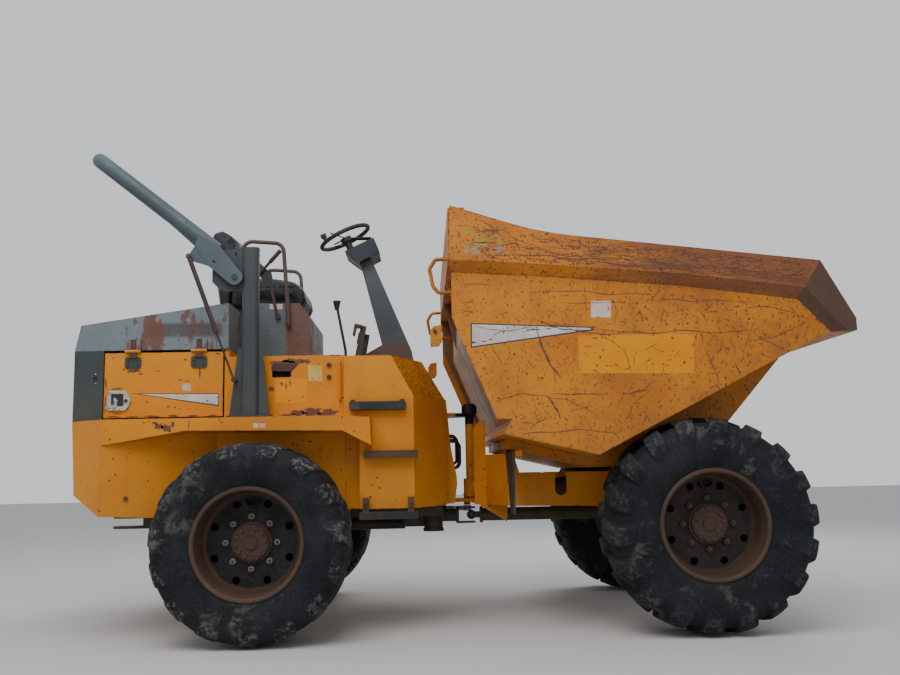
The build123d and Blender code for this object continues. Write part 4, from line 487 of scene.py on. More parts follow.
def rubbed_rail(tree, place, colour):
    """Brown steel in long streaks that join up towards the front, all brown past the mitre."""
    parts = split(tree, place)
    x, z = parts["X"], parts["Z"]
    streak = grain(tree, squeezed(tree, place, (1.1, 6.0, 9.0), (0.0, 0.09, 0.0)), 2.2, 8.0, 0.74)
    worn = step(tree, sloped(tree, x, streak, 3.6), 2.0, 3.4)
    brown = mix(tree, grain(tree, place, 26.0, 6.0, 0.72), (0.095, 0.038, 0.022), (0.270, 0.100, 0.046))
    flecks = step(tree, grain(tree, place, 48.0, 6.0, 0.75), 0.60, 0.66, 1.0, 0.35)
    colour = mix(tree, times(tree, times(tree, worn, 0.86), flecks), colour, brown)
    colour = mix(tree, pits(tree, place, 80.0, 0.5, 0.46), colour, (0.090, 0.034, 0.020))
    old = step(tree, grain(tree, place, 15.0, 7.0, 0.74), 0.50, 0.56)
    patch = times(tree, band(tree, x, *OLD_COAT_X), band(tree, z, *OLD_COAT_Z))
    old_tone = mix(tree, step(tree, z, 2.10, 2.12), (0.24, 0.30, 0.22), (0.36, 0.25, 0.020))
    colour = mix(tree, times(tree, old, patch), colour, old_tone)
    mitre = sloped(tree, sloped(tree, x, z, MITRE_LEAN), 1.0, MITRE_X)
    steel = mix(tree, grain(tree, place, 14.0, 7.0, 0.74), (0.050, 0.029, 0.022), (0.120, 0.066, 0.044))
    return mix(tree, times(tree, step(tree, mitre, -0.006, 0.006), 0.94), colour, steel)


rim_orange = worn_enamel("rim_orange", (0.600, 0.205, 0.014), (0.330, 0.095, 0.016), rust=1.8, pitted=0.25,
                         soiled=0.8, edge=0.018, dust_top=1.7, last_coat=rubbed_rail)
paint(rim_orange, "skip_rim")


# Wheels: pressed rims with a deep dish of brown rust and a disc nearly black with grease and brake
# dust; the nuts are newer and pale. A ring of small bolts holds each planet carrier's cover.
HALVES = (("right", -1), ("left", 1))
FRONT_AXLE_X, REAR_AXLE_X = 1.338, -1.120
FRONT_TYRE_R, REAR_TYRE_R = 0.577, 0.532
WHEEL_ENDS = (
    # end, axle x, axle height, disc, nuts
    ("front", FRONT_AXLE_X, FRONT_TYRE_R, (0.024, 0.019, 0.018), (0.075, 0.052, 0.042)),
    ("rear", REAR_AXLE_X, REAR_TYRE_R, (0.013, 0.013, 0.014), (0.200, 0.190, 0.180)),
)
DISC_EDGE_R = (0.262, 0.252)
NUTS_R, NUTS_Y = ((0.113, 0.116), (0.164, 0.160)), (1.0245, 1.0255)
HUB_R = (0.113, 0.109)
COVER_BOLTS, COVER_BOLT_R, COVER_BOLT_Y, COVER_BOLT_TURN = 12, 0.078, 1.0653, 0.13
STUDS, STUD_R, STUD_Y = 8, 0.1375, 1.0492


def greasy_disc(axle_x, axle_z, disc, nut):
    """Colour by distance from the axle: hub, nuts, disc, then the rusty dish."""
    def last_coat(tree, place, colour):
        parts = split(tree, place)
        flat = wire(tree, "ShaderNodeCombineXYZ", X=parts["X"], Z=parts["Z"]).outputs[0]
        reach = wire(tree, "ShaderNodeVectorMath", {"operation": "DISTANCE"}, i0=flat,
                     i1=(axle_x, 0.0, axle_z)).outputs["Value"]
        speck = step(tree, grain(tree, place, 35.0, 6.0, 0.7), 0.50, 0.74)
        dark = mix(tree, times(tree, speck, 0.6), disc, (0.090, 0.045, 0.030))
        edge = sloped(tree, reach, grain(tree, place, 12.0, 5.0, 0.7), 0.03)
        colour = mix(tree, step(tree, edge, *DISC_EDGE_R), colour, dark)
        nuts = times(tree, band(tree, reach, *NUTS_R), step(tree, unsigned(tree, parts["Y"]), *NUTS_Y))
        colour = mix(tree, nuts, colour, nut)
        hub_tone = mix(tree, speck, (0.066, 0.036, 0.028), (0.036, 0.026, 0.022))
        return mix(tree, step(tree, reach, *HUB_R), colour, hub_tone)
    return last_coat


def bolt_heads(name, places, outward, width, height, sides=6):
    """Each head is a ring of sides carried up a profile of radius and height along outward."""
    places = np.asarray(places, float)
    outward = np.asarray(outward, float)
    across = np.cross(outward, [0.3, 0.2, 0.93])
    across = across / np.linalg.norm(across)
    upright = np.cross(outward, across)
    profile = np.array([(0.5, 0.0), (0.5, 0.82), (0.43, 1.0), (0.02, 1.0)]) * (width, height)
    angle = np.linspace(0.0, 2.0 * np.pi, sides, endpoint=False)
    ring = np.cos(angle)[:, None] * across + np.sin(angle)[:, None] * upright
    points = places[:, None, None, :] + profile[None, :, None, :1] * ring[None, None]
    points = points + profile[None, :, None, 1:] * outward
    count, rows = len(places), len(profile)
    start = np.arange(count)[:, None, None] * rows * sides
    i, j = np.arange(rows - 1)[None, :, None] * sides, np.arange(sides)[None, None, :]
    following = (j + 1) % sides
    faces = np.stack([start + i + j, start + i + following, start + i + sides + following,
                      start + i + sides + j], axis=-1).reshape(-1, 4)
    return quad_mesh(name, points.reshape(-1, 3), faces)


def fit(piece, coat, body):
    """Gives a piece its finish and the body it rides on."""
    piece.data.materials.append(coat)
    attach(piece, body)


def round_axle(count, radius, axle_x, y, axle_z, first=0.0):
    """Places evenly round an axle: each lies at that radius, a share of a turn past first."""
    around = np.linspace(0.0, 2.0 * np.pi, count, endpoint=False) + first
    return np.stack([axle_x + radius * np.cos(around), np.full(count, y),
                     axle_z + radius * np.sin(around)], axis=-1)


hub_steel = worn_enamel("hub_steel", (0.075, 0.040, 0.030), (0.042, 0.028, 0.024), rust=0.5, pitted=0.0,
                        soiled=0.3, edge=0.002)
for end, axle_x, axle_z, disc, nut in WHEEL_ENDS:
    for half, side in HALVES:
        wheel = f"{end}_{half}"
        coat = worn_enamel(f"rim_{wheel}_rust", (0.085, 0.048, 0.031), (0.050, 0.032, 0.024), rust=1.2,
                           pitted=0.05, soiled=0.5, edge=0.006, gloss=0.6, dust_top=0.4,
                           last_coat=greasy_disc(axle_x, axle_z, disc, nut))
        paint(coat, f"rim_{wheel}")
        places = round_axle(COVER_BOLTS, COVER_BOLT_R, axle_x, side * COVER_BOLT_Y, axle_z, COVER_BOLT_TURN)
        bolts = bolt_heads(f"hub_bolts_{wheel}", places, (0, side, 0), 0.021, 0.009)
        fit(bolts, hub_steel, f"wheel_{wheel}")
        places = round_axle(STUDS, STUD_R, axle_x, side * STUD_Y, axle_z)
        studs = bolt_heads(f"studs_{wheel}", places, (0, side, 0), 0.016, 0.014, 10)
        fit(studs, hub_steel, f"wheel_{wheel}")


# Shade plates: a dished dark plate closes each wheel's inside round the brake drum, so little light comes
# through the hand holes. Its dark greasy finish is painted shade for the deep well of the wheel.
SHADE_PLATE_SIDES = 64
SHADE_PLATE_R = np.array([0.166, 0.185, 0.225, 0.268, 0.268])
SHADE_PLATE_Y = np.array([0.868, 0.872, 0.872, 0.866, 0.850])


def shade_plate(name, axle_x, axle_z, side):
    """A profile of radius and y carried round the axle."""
    rings = len(SHADE_PLATE_R)
    around = np.linspace(0, 2 * np.pi, SHADE_PLATE_SIDES, endpoint=False)
    angle, radius = np.meshgrid(around, SHADE_PLATE_R, indexing="ij")
    depth = np.broadcast_to(SHADE_PLATE_Y, angle.shape)
    points = np.stack([axle_x + radius * np.cos(angle), side * depth, axle_z + radius * np.sin(angle)],
                      axis=-1)
    a, b = np.meshgrid(np.arange(SHADE_PLATE_SIDES), np.arange(rings - 1), indexing="ij")
    here, following = a * rings + b, (a + 1) % SHADE_PLATE_SIDES * rings + b
    faces = np.stack([here, here + 1, following + 1, following], axis=-1).reshape(-1, 4)
    return quad_mesh(name, points.reshape(-1, 3), faces[:, ::side])


for end, axle_x, axle_z, *_ in WHEEL_ENDS:
    for half, side in HALVES:
        cover = shade_plate(f"shade_plate_{end}_{half}", axle_x, axle_z, side)
        # the dark greasy finish here is painted shade, not a real plate's colour
        fit(cover, greasy_dark, f"{end}_frame")


# Tyres: bias-ply earthmover covers. The front ones carry deep angled bars that meet at the crown,
# the rear ones are worn nearly smooth; mud dries pale between the bars and on the shoulders.
POINTS_ACROSS, POINTS_ROUND = 58, 640
TYRE_HALF_WIDTH = 0.2275
TYRE_OUTER_Y = 1.215
BEAD_R = 0.2853
GROUND_GAP = 0.0004
TYRE_PROFILE = (
    # across, how far up from the bead (0) to the crown (1)
    (0.1947, 0.000), (0.1955, 0.060), (0.2060, 0.130), (0.2190, 0.240), (0.2255, 0.380),
    (0.2265, 0.500), (0.2235, 0.620), (0.2170, 0.730), (0.2060, 0.830), (0.1890, 0.905),
    (0.1660, 0.950), (0.1300, 0.978), (0.0850, 0.993), (0.0400, 0.999), (0.0000, 1.000),
)
TYRES = (
    # end, axle x, radius, bar height, bar pairs, whether worn smooth
    ("front", FRONT_AXLE_X, FRONT_TYRE_R, 0.030, 18, False),
    ("rear", REAR_AXLE_X, REAR_TYRE_R, 0.009, 15, True),
)


def grid_piece(name, points):
    """A grid of points, rows by columns and closed both ways, joined into smooth faces."""
    rows, columns = points.shape[:2]
    a, b = np.meshgrid(np.arange(rows), np.arange(columns), indexing="ij")
    c, d = (a + 1) % rows, (b + 1) % columns
    faces = np.stack([a * columns + b, c * columns + b, c * columns + d, a * columns + d], axis=-1)
    mesh = bpy.data.meshes.new(name)
    count = rows * columns
    mesh.vertices.add(count)
    mesh.vertices.foreach_set("co", points.reshape(-1).astype(np.float32))
    mesh.loops.add(count * 4)
    mesh.polygons.add(count)
    mesh.loops.foreach_set("vertex_index", faces.reshape(-1).astype(np.int32))
    mesh.polygons.foreach_set("loop_start", np.arange(0, count * 4, 4, dtype=np.int32))
    mesh.update(calc_edges=True)
    mesh.validate()
    mesh.polygons.foreach_set("use_smooth", np.ones(count, dtype=bool))
    piece = bpy.data.objects.new(name, mesh)
    bpy.context.scene.collection.objects.link(piece)
    return piece


def soft_step(x, low, high):
    """0 below low, 1 above high and a smooth rise between, on arrays."""
    t = np.clip((x - low) / (high - low), 0.0, 1.0)
    return t * t * (3.0 - 2.0 * t)


def tyre_section():
    """The half profile in even steps, its corners eased three times, then mirrored at the crown."""
    half = np.array(TYRE_PROFILE)
    dense = np.linspace(0.0, 1.0, POINTS_ACROSS)
    share = np.linspace(0.0, 1.0, len(half))
    across = np.interp(dense, share, half[:, 0])
    height = np.interp(dense, share, half[:, 1])
    for _ in range(3):
        across[1:-1] = 0.25 * across[:-2] + 0.5 * across[1:-1] + 0.25 * across[2:]
        height[1:-1] = 0.25 * height[:-2] + 0.5 * height[1:-1] + 0.25 * height[2:]
    return np.concatenate([across, -across[-2::-1]]), np.concatenate([height, height[-2::-1]])


def tyre_piece(name, axle_x, side, radius, bar, pairs, worn):
    """Each point lies on the section, turned round the axle; the bars raise it along a leaning line
    on each half, half a pitch apart, and two rings, a guard and shallow ribs mark the wall. The
    last column of points joins the first, so a band from bead to bead closes the cover."""
    across, height = tyre_section()
    base = radius - bar
    theta = np.linspace(0.0, 2.0 * np.pi, POINTS_ROUND, endpoint=False)
    angle, y = np.meshgrid(theta, across, indexing="ij")
    up = np.broadcast_to(height, angle.shape)
    pitch = 2.0 * np.pi / pairs
    edge = np.abs(y) / TYRE_HALF_WIDTH
    lean = 0.34 * edge + 0.10 * edge ** 2
    phase = np.where(y > 0, 0.0, 0.5) * pitch
    turned = (angle - phase - lean * 0.72 * pitch + pitch / 2) % pitch - pitch / 2
    width = pitch * (0.205 + 0.05 * edge)
    flank = 0.013 / base
    crest = soft_step(-np.abs(turned), -(width + flank), -width)
    lug = crest * soft_step(np.abs(y), 0.004, 0.016) * soft_step(up, 0.60, 0.76)
    wave = 0.5 + 0.5 * np.sin(angle * 7.0 + 1.3) * np.sin(angle * 11.0 + y * 20.0)
    r = BEAD_R + up * (base - BEAD_R) + bar * lug * (1.0 - 0.25 * wave * (1.0 if worn else 0.4))
    # the bars stand out sideways at the shoulder too
    side_lift = (0.006 if worn else 0.010) * crest
    side_lift = side_lift * soft_step(up, 0.58, 0.74) * soft_step(-up, -0.985, -0.90)
    ring = np.exp(-((up - 0.56) / 0.010) ** 2) - 0.8 * np.exp(-((up - 0.535) / 0.008) ** 2)
    ring = ring + 0.7 * np.exp(-((up - 0.13) / 0.02) ** 2)
    rib = np.exp(-((up - 0.60) / 0.03) ** 2) * (0.5 + 0.5 * np.sign(np.sin(angle * pairs * 2.0)))
    wall = 0.0022 * ring + 0.0010 * rib
    # the wall swells a little where the tyre stands on the ground
    bulge = 0.012 * np.exp(-(((angle - 1.5 * np.pi) + np.pi) % (2 * np.pi) - np.pi) ** 2 / 0.09)
    bulge = bulge * np.exp(-((up - 0.5) / 0.3) ** 2) * (0.4 if worn else 0.25)
    room = TYRE_HALF_WIDTH + 0.001 - np.abs(y)
    out_y = y + np.sign(y) * np.minimum(side_lift + wall + bulge, room).clip(0.0)
    points = np.stack([np.cos(angle) * r, out_y * side, np.sin(angle) * r], axis=-1)
    points = points + np.array([axle_x, side * (TYRE_OUTER_Y - TYRE_HALF_WIDTH), radius])
    points[..., 2] = np.maximum(points[..., 2], GROUND_GAP)
    order = slice(None, None, side)
    piece = grid_piece(name, points[:, order])
    tread = piece.data.attributes.new("tread", "FLOAT", "POINT")
    tread.data.foreach_set("value", lug[:, order].reshape(-1).astype(np.float32))
    return piece


def tyre_rubber(name, worn):
    """Near-black rubber, grey dust on the walls, pale dried mud between the bars and smeared."""
    coat, tree, out, place = shader(name)
    lug = wire(tree, "ShaderNodeAttribute", {"attribute_name": "tread"}).outputs["Fac"]
    cloud = step(tree, grain(tree, place, 4.0, 7.0, 0.7), 0.35, 0.70)
    colour = mix(tree, cloud, (0.006, 0.008, 0.010), (0.019, 0.022, 0.026))
    speckle = step(tree, grain(tree, place, 70.0, 5.0, 0.7), 0.50, 0.72)
    colour = mix(tree, times(tree, speckle, 0.35), colour, (0.060, 0.060, 0.060))
    scuffs = step(tree, grain(tree, place, 34.0, 7.0, 0.78), 0.48, 0.62)
    scuffs = times(tree, scuffs, step(tree, lug, 0.25, 0.9))
    colour = mix(tree, times(tree, scuffs, 0.60 if worn else 0.22), colour, (0.190, 0.186, 0.178))
    mud_field = step(tree, grain(tree, place, 9.0, 7.0, 0.72, 0.6), 0.50 if worn else 0.54, 0.63)
    bands = step(tree, grain(tree, place, 2.2, 3.0), 0.46, 0.62)
    mud = times(tree, times(tree, mud_field, bands), 0.85)
    colour = mix(tree, times(tree, mud, 0.42 if worn else 0.30), colour, (0.22, 0.205, 0.180))
    plug(tree, out, Base_Color=colour, Roughness=0.78, Specular_IOR_Level=0.22)
    dented(tree, out, 0.5, 0.0025, sloped(tree, grain(tree, place, 120.0, 4.0, 0.7), mud, 0.8))
    return coat


for end, axle_x, radius, bar, pairs, worn in TYRES:
    rubber = tyre_rubber(f"{end}_rubber", worn)
    for half, side in HALVES:
        cover = tyre_piece(f"cover_{end}_{half}", axle_x, side, radius, bar, pairs, worn)
        cover.data.materials.append(rubber)
        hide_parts(f"tyre_{end}_{half}")
        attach(cover, f"wheel_{end}_{half}")


# Films stuck on the doors and the skip: a white wedge with a dark outline, a small blank square and a
# paler rectangle of paint. They are scuffed through in the same places as the paint.
LAYER = 0.0001
SKIP_SIDE = 1.1200
BODY_SIDE, SHELF_SIDE, DECK_SIDE, SEAT_BOX_SIDE = 0.7970, 0.9800, 0.8600, 0.3900


def film(name, outline, y):
    """A flat face at that y, its outline given in x and z, facing away from the machine."""
    flat = np.asarray(outline, float)
    area = np.sum(flat[:, 0] * np.roll(flat[:, 1], -1) - np.roll(flat[:, 0], -1) * flat[:, 1])
    points = np.stack([flat[:, 0], np.full(len(flat), y), flat[:, 1]], axis=-1)
    order = np.arange(len(flat))[:: 1 if (area > 0) == (y < 0) else -1]
    return quad_mesh(name, points, [order])


def scuffed(name, tone, shade, share):
    """A film's colour, its faded shade in clouds, and brown where it is scuffed off."""
    coat, tree, out, place = shader(name)
    colour = mix(tree, step(tree, grain(tree, place, 9.0, 5.0), 0.35, 0.7), tone, shade)
    torn = grain(tree, squeezed(tree, place, (1.0, 1.0, 3.2), (0.0, 0.06, 0.0)), 9.0, 7.0, 0.72)
    torn = step(tree, torn, 0.66 - share, 0.68 - share)
    torn = times(tree, torn, pits(tree, place, 52.0, 0.30, 0.40), "MAXIMUM")
    colour = mix(tree, torn, colour, (0.150, 0.060, 0.026))
    plug(tree, out, Base_Color=colour, Roughness=0.55, Specular_IOR_Level=0.25)
    dented(tree, out, 0.3, 0.0006, torn)
    return coat


film_white = scuffed("film_white", (0.62, 0.60, 0.58), (0.50, 0.46, 0.43), 0.06)
film_square = scuffed("film_square", (0.64, 0.54, 0.49), (0.54, 0.37, 0.31), 0.0)
film_navy = scuffed("film_navy", (0.030, 0.034, 0.060), (0.045, 0.045, 0.060), 0.08)
film_amber = scuffed("film_amber", (0.740, 0.275, 0.002), (0.690, 0.245, 0.003), 0.01)
film_straw = scuffed("film_straw", (0.62, 0.43, 0.12), (0.56, 0.36, 0.09), -0.04)
film_green = scuffed("film_green", (0.060, 0.170, 0.085), (0.045, 0.120, 0.070), -0.04)
FILMS = (
    # name, body, face that it lies on, layers above it, coat, outline in x and z
    ("skip_wedge_line", "skip", SKIP_SIDE, 3, film_navy,
     ((0.072, 1.684), (0.745, 1.652), (0.745, 1.633), (0.070, 1.548))),
    ("skip_wedge", "skip", SKIP_SIDE, 6, film_white,
     ((0.079, 1.677), (0.738, 1.646), (0.738, 1.640), (0.077, 1.556))),
    ("skip_square", "skip", SKIP_SIDE, 4, film_square,
     ((0.736, 1.797), (0.846, 1.795), (0.843, 1.703), (0.733, 1.705))),
    ("skip_amber_patch", "skip", SKIP_SIDE, 2, film_amber,
     ((0.661, 1.606), (1.295, 1.604), (1.284, 1.389), (0.654, 1.398))),
    ("door_wedge_line", "door", BODY_SIDE, 3, film_navy,
     ((-1.850, 1.360), (-1.355, 1.352), (-1.355, 1.279), (-1.362, 1.279))),
    ("door_wedge", "door", BODY_SIDE, 6, film_white,
     ((-1.800, 1.3555), (-1.360, 1.347), (-1.360, 1.286))),
    ("door_square", "door", BODY_SIDE, 4, film_square,
     ((-1.564, 1.411), (-1.516, 1.410), (-1.516, 1.369), (-1.564, 1.370))),
    ("tank_panel", "rear_frame", BODY_SIDE, 3, film_amber,
     ((-1.036, 1.428), (-0.857, 1.428), (-0.857, 1.290), (-1.036, 1.290))),
    ("tank_label", "rear_frame", BODY_SIDE, 4, film_straw,
     ((-0.850, 1.503), (-0.770, 1.500), (-0.770, 1.413), (-0.850, 1.415))),
    ("green_tag", "rear_frame", DECK_SIDE, 3, film_green,
     ((-0.522, 1.184), (-0.486, 1.184), (-0.486, 1.079), (-0.522, 1.079))),
    ("seat_box_label", "rear_frame", SEAT_BOX_SIDE, 3, film_square,
     ((-1.137, 1.938), (-1.057, 1.938), (-1.057, 1.905), (-1.137, 1.905))),
    ("shelf_label_rear", "rear_frame", SHELF_SIDE, 3, film_square,
     ((-1.126, 1.168), (-1.098, 1.168), (-1.098, 1.143), (-1.126, 1.143))),
    ("shelf_label_front", "rear_frame", SHELF_SIDE, 3, film_square,
     ((-1.092, 1.168), (-1.062, 1.168), (-1.062, 1.143), (-1.092, 1.143))),
)
for half, side in HALVES:
    for name, body, face, layers, coat, outline in FILMS:
        piece = film(f"{name}_{half}", outline, side * (face + layers * LAYER))
        fit(piece, coat, f"door_{half}" if body == "door" else body)


# Scores in the skip's sides and rim: thin bare lines where branches, walls and buckets scraped along,
# some long and level, most short, thickest towards the lip.
SCORE_POINTS = 28
SCORE_LAYER = 4e-6
SKIP_RAIL = 1.1700
SIDE_SCORE_Y, RAIL_SCORE_Y = SKIP_SIDE + 9 * LAYER, SKIP_RAIL + 6 * LAYER
SIDE_EDGES_BELOW = (((-0.2, 0.75, 2.1), (1.199, 0.985, 1.664)), ((0.0, 0.32, 2.1), (1.720, 0.974, 0.90)))
SIDE_EDGE_ABOVE = ((-0.2, 2.1), (1.955, 1.782))
RAIL_EDGE_BELOW = ((-0.042, 0.355, 1.230, 1.912), (2.041, 2.018, 1.948, 1.864))
RAIL_EDGE_ABOVE = ((-0.034, 0.463, 2.007), (2.306, 2.151, 1.976))
SIDE_FOOT, LIP_START, LIP_RISE = 0.985, 0.75, 0.503
SIDE_SHORTS, RAIL_SHORTS = 520, 260
SIDE_SCORES = (
    # from x, from z, to x, to z, bow, width
    (0.386, 1.846, 1.087, 1.824, 0.012, 0.0050), (1.060, 1.795, 1.640, 1.772, 0.010, 0.0045),
    (0.560, 1.792, 1.010, 1.783, -0.004, 0.0035), (0.700, 1.890, 0.707, 1.729, 0.004, 0.0045),
    (0.400, 1.712, 0.770, 1.640, -0.030, 0.0065), (0.500, 1.690, 1.060, 1.632, -0.045, 0.0055),
    (0.760, 1.640, 1.620, 1.622, -0.020, 0.0060), (0.300, 1.640, 0.640, 1.668, 0.010, 0.0040),
    (0.060, 1.672, 0.420, 1.655, -0.020, 0.0045), (0.180, 1.600, 0.300, 1.630, 0.020, 0.0055),
    (0.360, 1.632, 0.460, 1.640, 0.006, 0.0100), (0.430, 1.640, 0.560, 1.370, -0.018, 0.0160),
    (0.473, 1.280, 0.545, 1.150, 0.010, 0.0130),
    (0.180, 1.560, 0.240, 1.450, 0.000, 0.0055), (0.160, 1.225, 0.500, 1.268, 0.040, 0.0055),
    (0.481, 1.267, 0.760, 1.149, 0.030, 0.0045), (0.498, 1.288, 0.800, 1.278, 0.004, 0.0070),
    (0.248, 1.080, 0.906, 1.076, 0.006, 0.0055), (0.879, 1.287, 1.058, 1.355, -0.030, 0.0085),
    (0.940, 1.290, 1.030, 1.296, 0.006, 0.0060), (1.348, 1.525, 1.422, 1.299, 0.012, 0.0075),
    (1.514, 1.440, 1.561, 1.318, 0.000, 0.0110), (1.540, 1.720, 1.880, 1.700, 0.040, 0.0055),
    (1.590, 1.560, 1.880, 1.640, -0.015, 0.0050), (1.640, 1.590, 1.800, 1.500, 0.000, 0.0050),
    (0.020, 1.900, 0.190, 1.898, 0.000, 0.0045), (0.020, 1.800, 0.100, 1.802, 0.000, 0.0040),
    (0.020, 1.760, 0.080, 1.742, 0.000, 0.0050), (0.550, 1.930, 0.980, 1.905, 0.006, 0.0080),
    (0.780, 1.600, 0.900, 1.520, 0.010, 0.0045), (1.010, 1.180, 1.030, 1.120, 0.000, 0.0070),
)
RAIL_SCORES = (
    # the same for the rail
    (0.180, 2.045, 0.880, 2.010, 0.010, 0.0090), (0.300, 2.100, 1.000, 2.010, -0.010, 0.0050),
    (0.700, 2.010, 1.900, 1.890, 0.014, 0.0110), (0.900, 2.060, 1.500, 1.960, 0.050, 0.0060),
    (1.000, 1.990, 1.800, 1.930, -0.030, 0.0080), (1.100, 2.080, 1.900, 1.990, 0.030, 0.0050),
    (0.800, 2.120, 1.300, 2.090, 0.012, 0.0050), (0.430, 2.200, 0.620, 2.040, 0.020, 0.0050),
    (0.120, 2.250, 0.260, 2.130, 0.020, 0.0055), (0.260, 2.200, 0.420, 2.100, -0.015, 0.0050),
    (1.300, 2.020, 1.960, 1.960, 0.030, 0.0070), (1.400, 1.930, 1.940, 1.900, 0.020, 0.0090),
    (0.990, 2.130, 1.000, 2.020, 0.000, 0.0055), (0.320, 2.150, 0.350, 2.070, 0.000, 0.0060),
    (1.180, 1.950, 1.700, 1.990, -0.060, 0.0060), (0.600, 2.130, 0.760, 2.030, 0.030, 0.0060),
)


def score_marks(name, lines, side, y, below, above_line):
    """Each line runs from its start to its end with a bow and a slight waver; its width swells from
    nothing to its full value and back, as the square root of a half sine. Lines stay over the edges
    below and under the edge above, given as heights along x, and lie on each other in turn."""
    lines = np.asarray(lines, float)
    t = np.linspace(0.0, 1.0, SCORE_POINTS)
    start, end, bow, width = lines[:, 0:2], lines[:, 2:4], lines[:, 4], lines[:, 5]
    along = end - start
    length = np.linalg.norm(along, axis=1, keepdims=True)
    across = np.stack([-along[:, 1], along[:, 0]], axis=-1) / length
    seed = np.arange(len(lines))[:, None] * 1.7
    waver = 0.012 * length * (np.sin(7.0 * t + seed) + 0.6 * np.sin(17.0 * t + 2.3 * seed))
    off = bow[:, None] * 4.0 * t * (1.0 - t) + waver * np.sin(np.pi * t)
    middle = start[:, None] + along[:, None] * t[:, None] + across[:, None] * off[..., None]
    spread = np.sqrt(np.sin(np.pi * np.clip(t, 0.004, 0.996))) * (0.75 + 0.25 * np.sin(23.0 * t + 3.1 * seed))
    half_width = across[:, None] * (0.5 * width[:, None] * spread)[..., None]
    both = np.stack([middle + half_width, middle - half_width], axis=2)
    low = np.max([np.interp(both[..., 0], *edge) for edge in below], axis=0)
    high = np.interp(both[..., 0], *above_line)
    layer = side * (y + SCORE_LAYER * (np.arange(len(lines)) % 64))[:, None, None]
    points = np.stack([both[..., 0], np.broadcast_to(layer, low.shape), np.clip(both[..., 1], low, high)],
                      axis=-1)
    base = np.arange(len(lines))[:, None] * SCORE_POINTS * 2 + np.arange(SCORE_POINTS - 1)[None] * 2
    faces = np.stack([base, base + 1, base + 3, base + 2], axis=-1).reshape(-1, 4)
    return quad_mesh(name, points.reshape(-1, 3), faces[:, ::-side])


def short_ends(start, lean, reach):
    """The far ends of lines that run from start at the angle lean for that reach."""
    return start + np.stack([np.cos(lean), np.sin(lean)], axis=-1) * reach[:, None]


def side_shorts(lot):
    """Short lines at random over the skip's side, more of them towards the lip, at four angles."""
    start = np.stack([lot.uniform(0.02, 2.0, SIDE_SHORTS), lot.uniform(0.98, 1.93, SIDE_SHORTS)], axis=-1)
    x, z = start[:, 0], start[:, 1]
    keep = (z > 1.10 - 0.23 * (x - 0.23)) & (z > SIDE_FOOT + LIP_RISE * (x - LIP_START))
    keep &= (z < 1.945 - 0.075 * x) & (z > 1.72 - 2.33 * x)
    keep &= lot.uniform(0.0, 1.0, SIDE_SHORTS) < 0.35 + 0.33 * x
    start = start[keep]
    count = len(start)
    lean = lot.choice([0.05, -0.9, 0.8, -1.9], count, p=[0.35, 0.25, 0.25, 0.15]) + lot.normal(0, 0.25, count)
    end = short_ends(start, lean, lot.gamma(1.6, 0.017, count) + 0.010)
    end[:, 1] = np.maximum(end[:, 1], SIDE_FOOT + LIP_RISE * np.maximum(end[:, 0] - LIP_START, 0.0))
    end = np.maximum(end, (0.02, 0.99))
    bow, width = lot.normal(0, 0.004, (count, 1)), lot.uniform(0.0022, 0.0052, (count, 1))
    return np.concatenate([start, end, bow, width], axis=1)


def rail_band(x):
    """The heights at x between which the rail's short lines start and end, a little past its edges."""
    return np.interp(x, *RAIL_EDGE_BELOW) - 0.006, np.interp(x, *RAIL_EDGE_ABOVE) + 0.014


def rail_shorts(lot):
    """Short lines at random along the rail, most of them nearly level."""
    start = np.stack([lot.uniform(0.05, 1.90, RAIL_SHORTS), np.zeros(RAIL_SHORTS)], axis=-1)
    low, high = rail_band(start[:, 0])
    start[:, 1] = low + (high - low) * lot.uniform(0.05, 0.9, RAIL_SHORTS)
    lean = lot.normal(-0.10, 0.30, RAIL_SHORTS)
    end = short_ends(start, lean, lot.gamma(1.8, 0.030, RAIL_SHORTS) + 0.012)
    end[:, 0] = np.minimum(end[:, 0], 1.93)
    end[:, 1] = np.clip(end[:, 1], *rail_band(end[:, 0]))
    bow, width = lot.normal(0, 0.003, (RAIL_SHORTS, 1)), lot.uniform(0.003, 0.007, (RAIL_SHORTS, 1))
    return np.concatenate([start, end, bow, width], axis=1)


bare_score, score_tree, score_out, score_place = shader("bare_score")
plug(score_tree, score_out,
     Base_Color=mix(score_tree, grain(score_tree, score_place, 28.0, 6.0, 0.7), (0.075, 0.028, 0.020),
                    (0.180, 0.070, 0.036)),
     Roughness=step(score_tree, grain(score_tree, score_place, 60.0, 3.0), 0.3, 0.8, 0.55, 0.85))
for (half, side), seed in zip(HALVES, (5, 11)):
    lot = np.random.default_rng(seed)
    shorts = side_shorts(lot)
    long_lines = np.array(SIDE_SCORES)
    if half == "left":
        long_lines = long_lines + lot.normal(0, 0.03, long_lines.shape) * (1, 0.4, 1, 0.4, 0.2, 0)
    marks = score_marks(f"side_scores_{half}", np.concatenate([long_lines, shorts]), side, SIDE_SCORE_Y,
                        SIDE_EDGES_BELOW, SIDE_EDGE_ABOVE)
    fit(marks, bare_score, "skip")
    marks = score_marks(f"rail_scores_{half}", np.concatenate([RAIL_SCORES, rail_shorts(lot)]), side,
                        RAIL_SCORE_Y, [RAIL_EDGE_BELOW], RAIL_EDGE_ABOVE)
    fit(marks, bare_score, "skip")


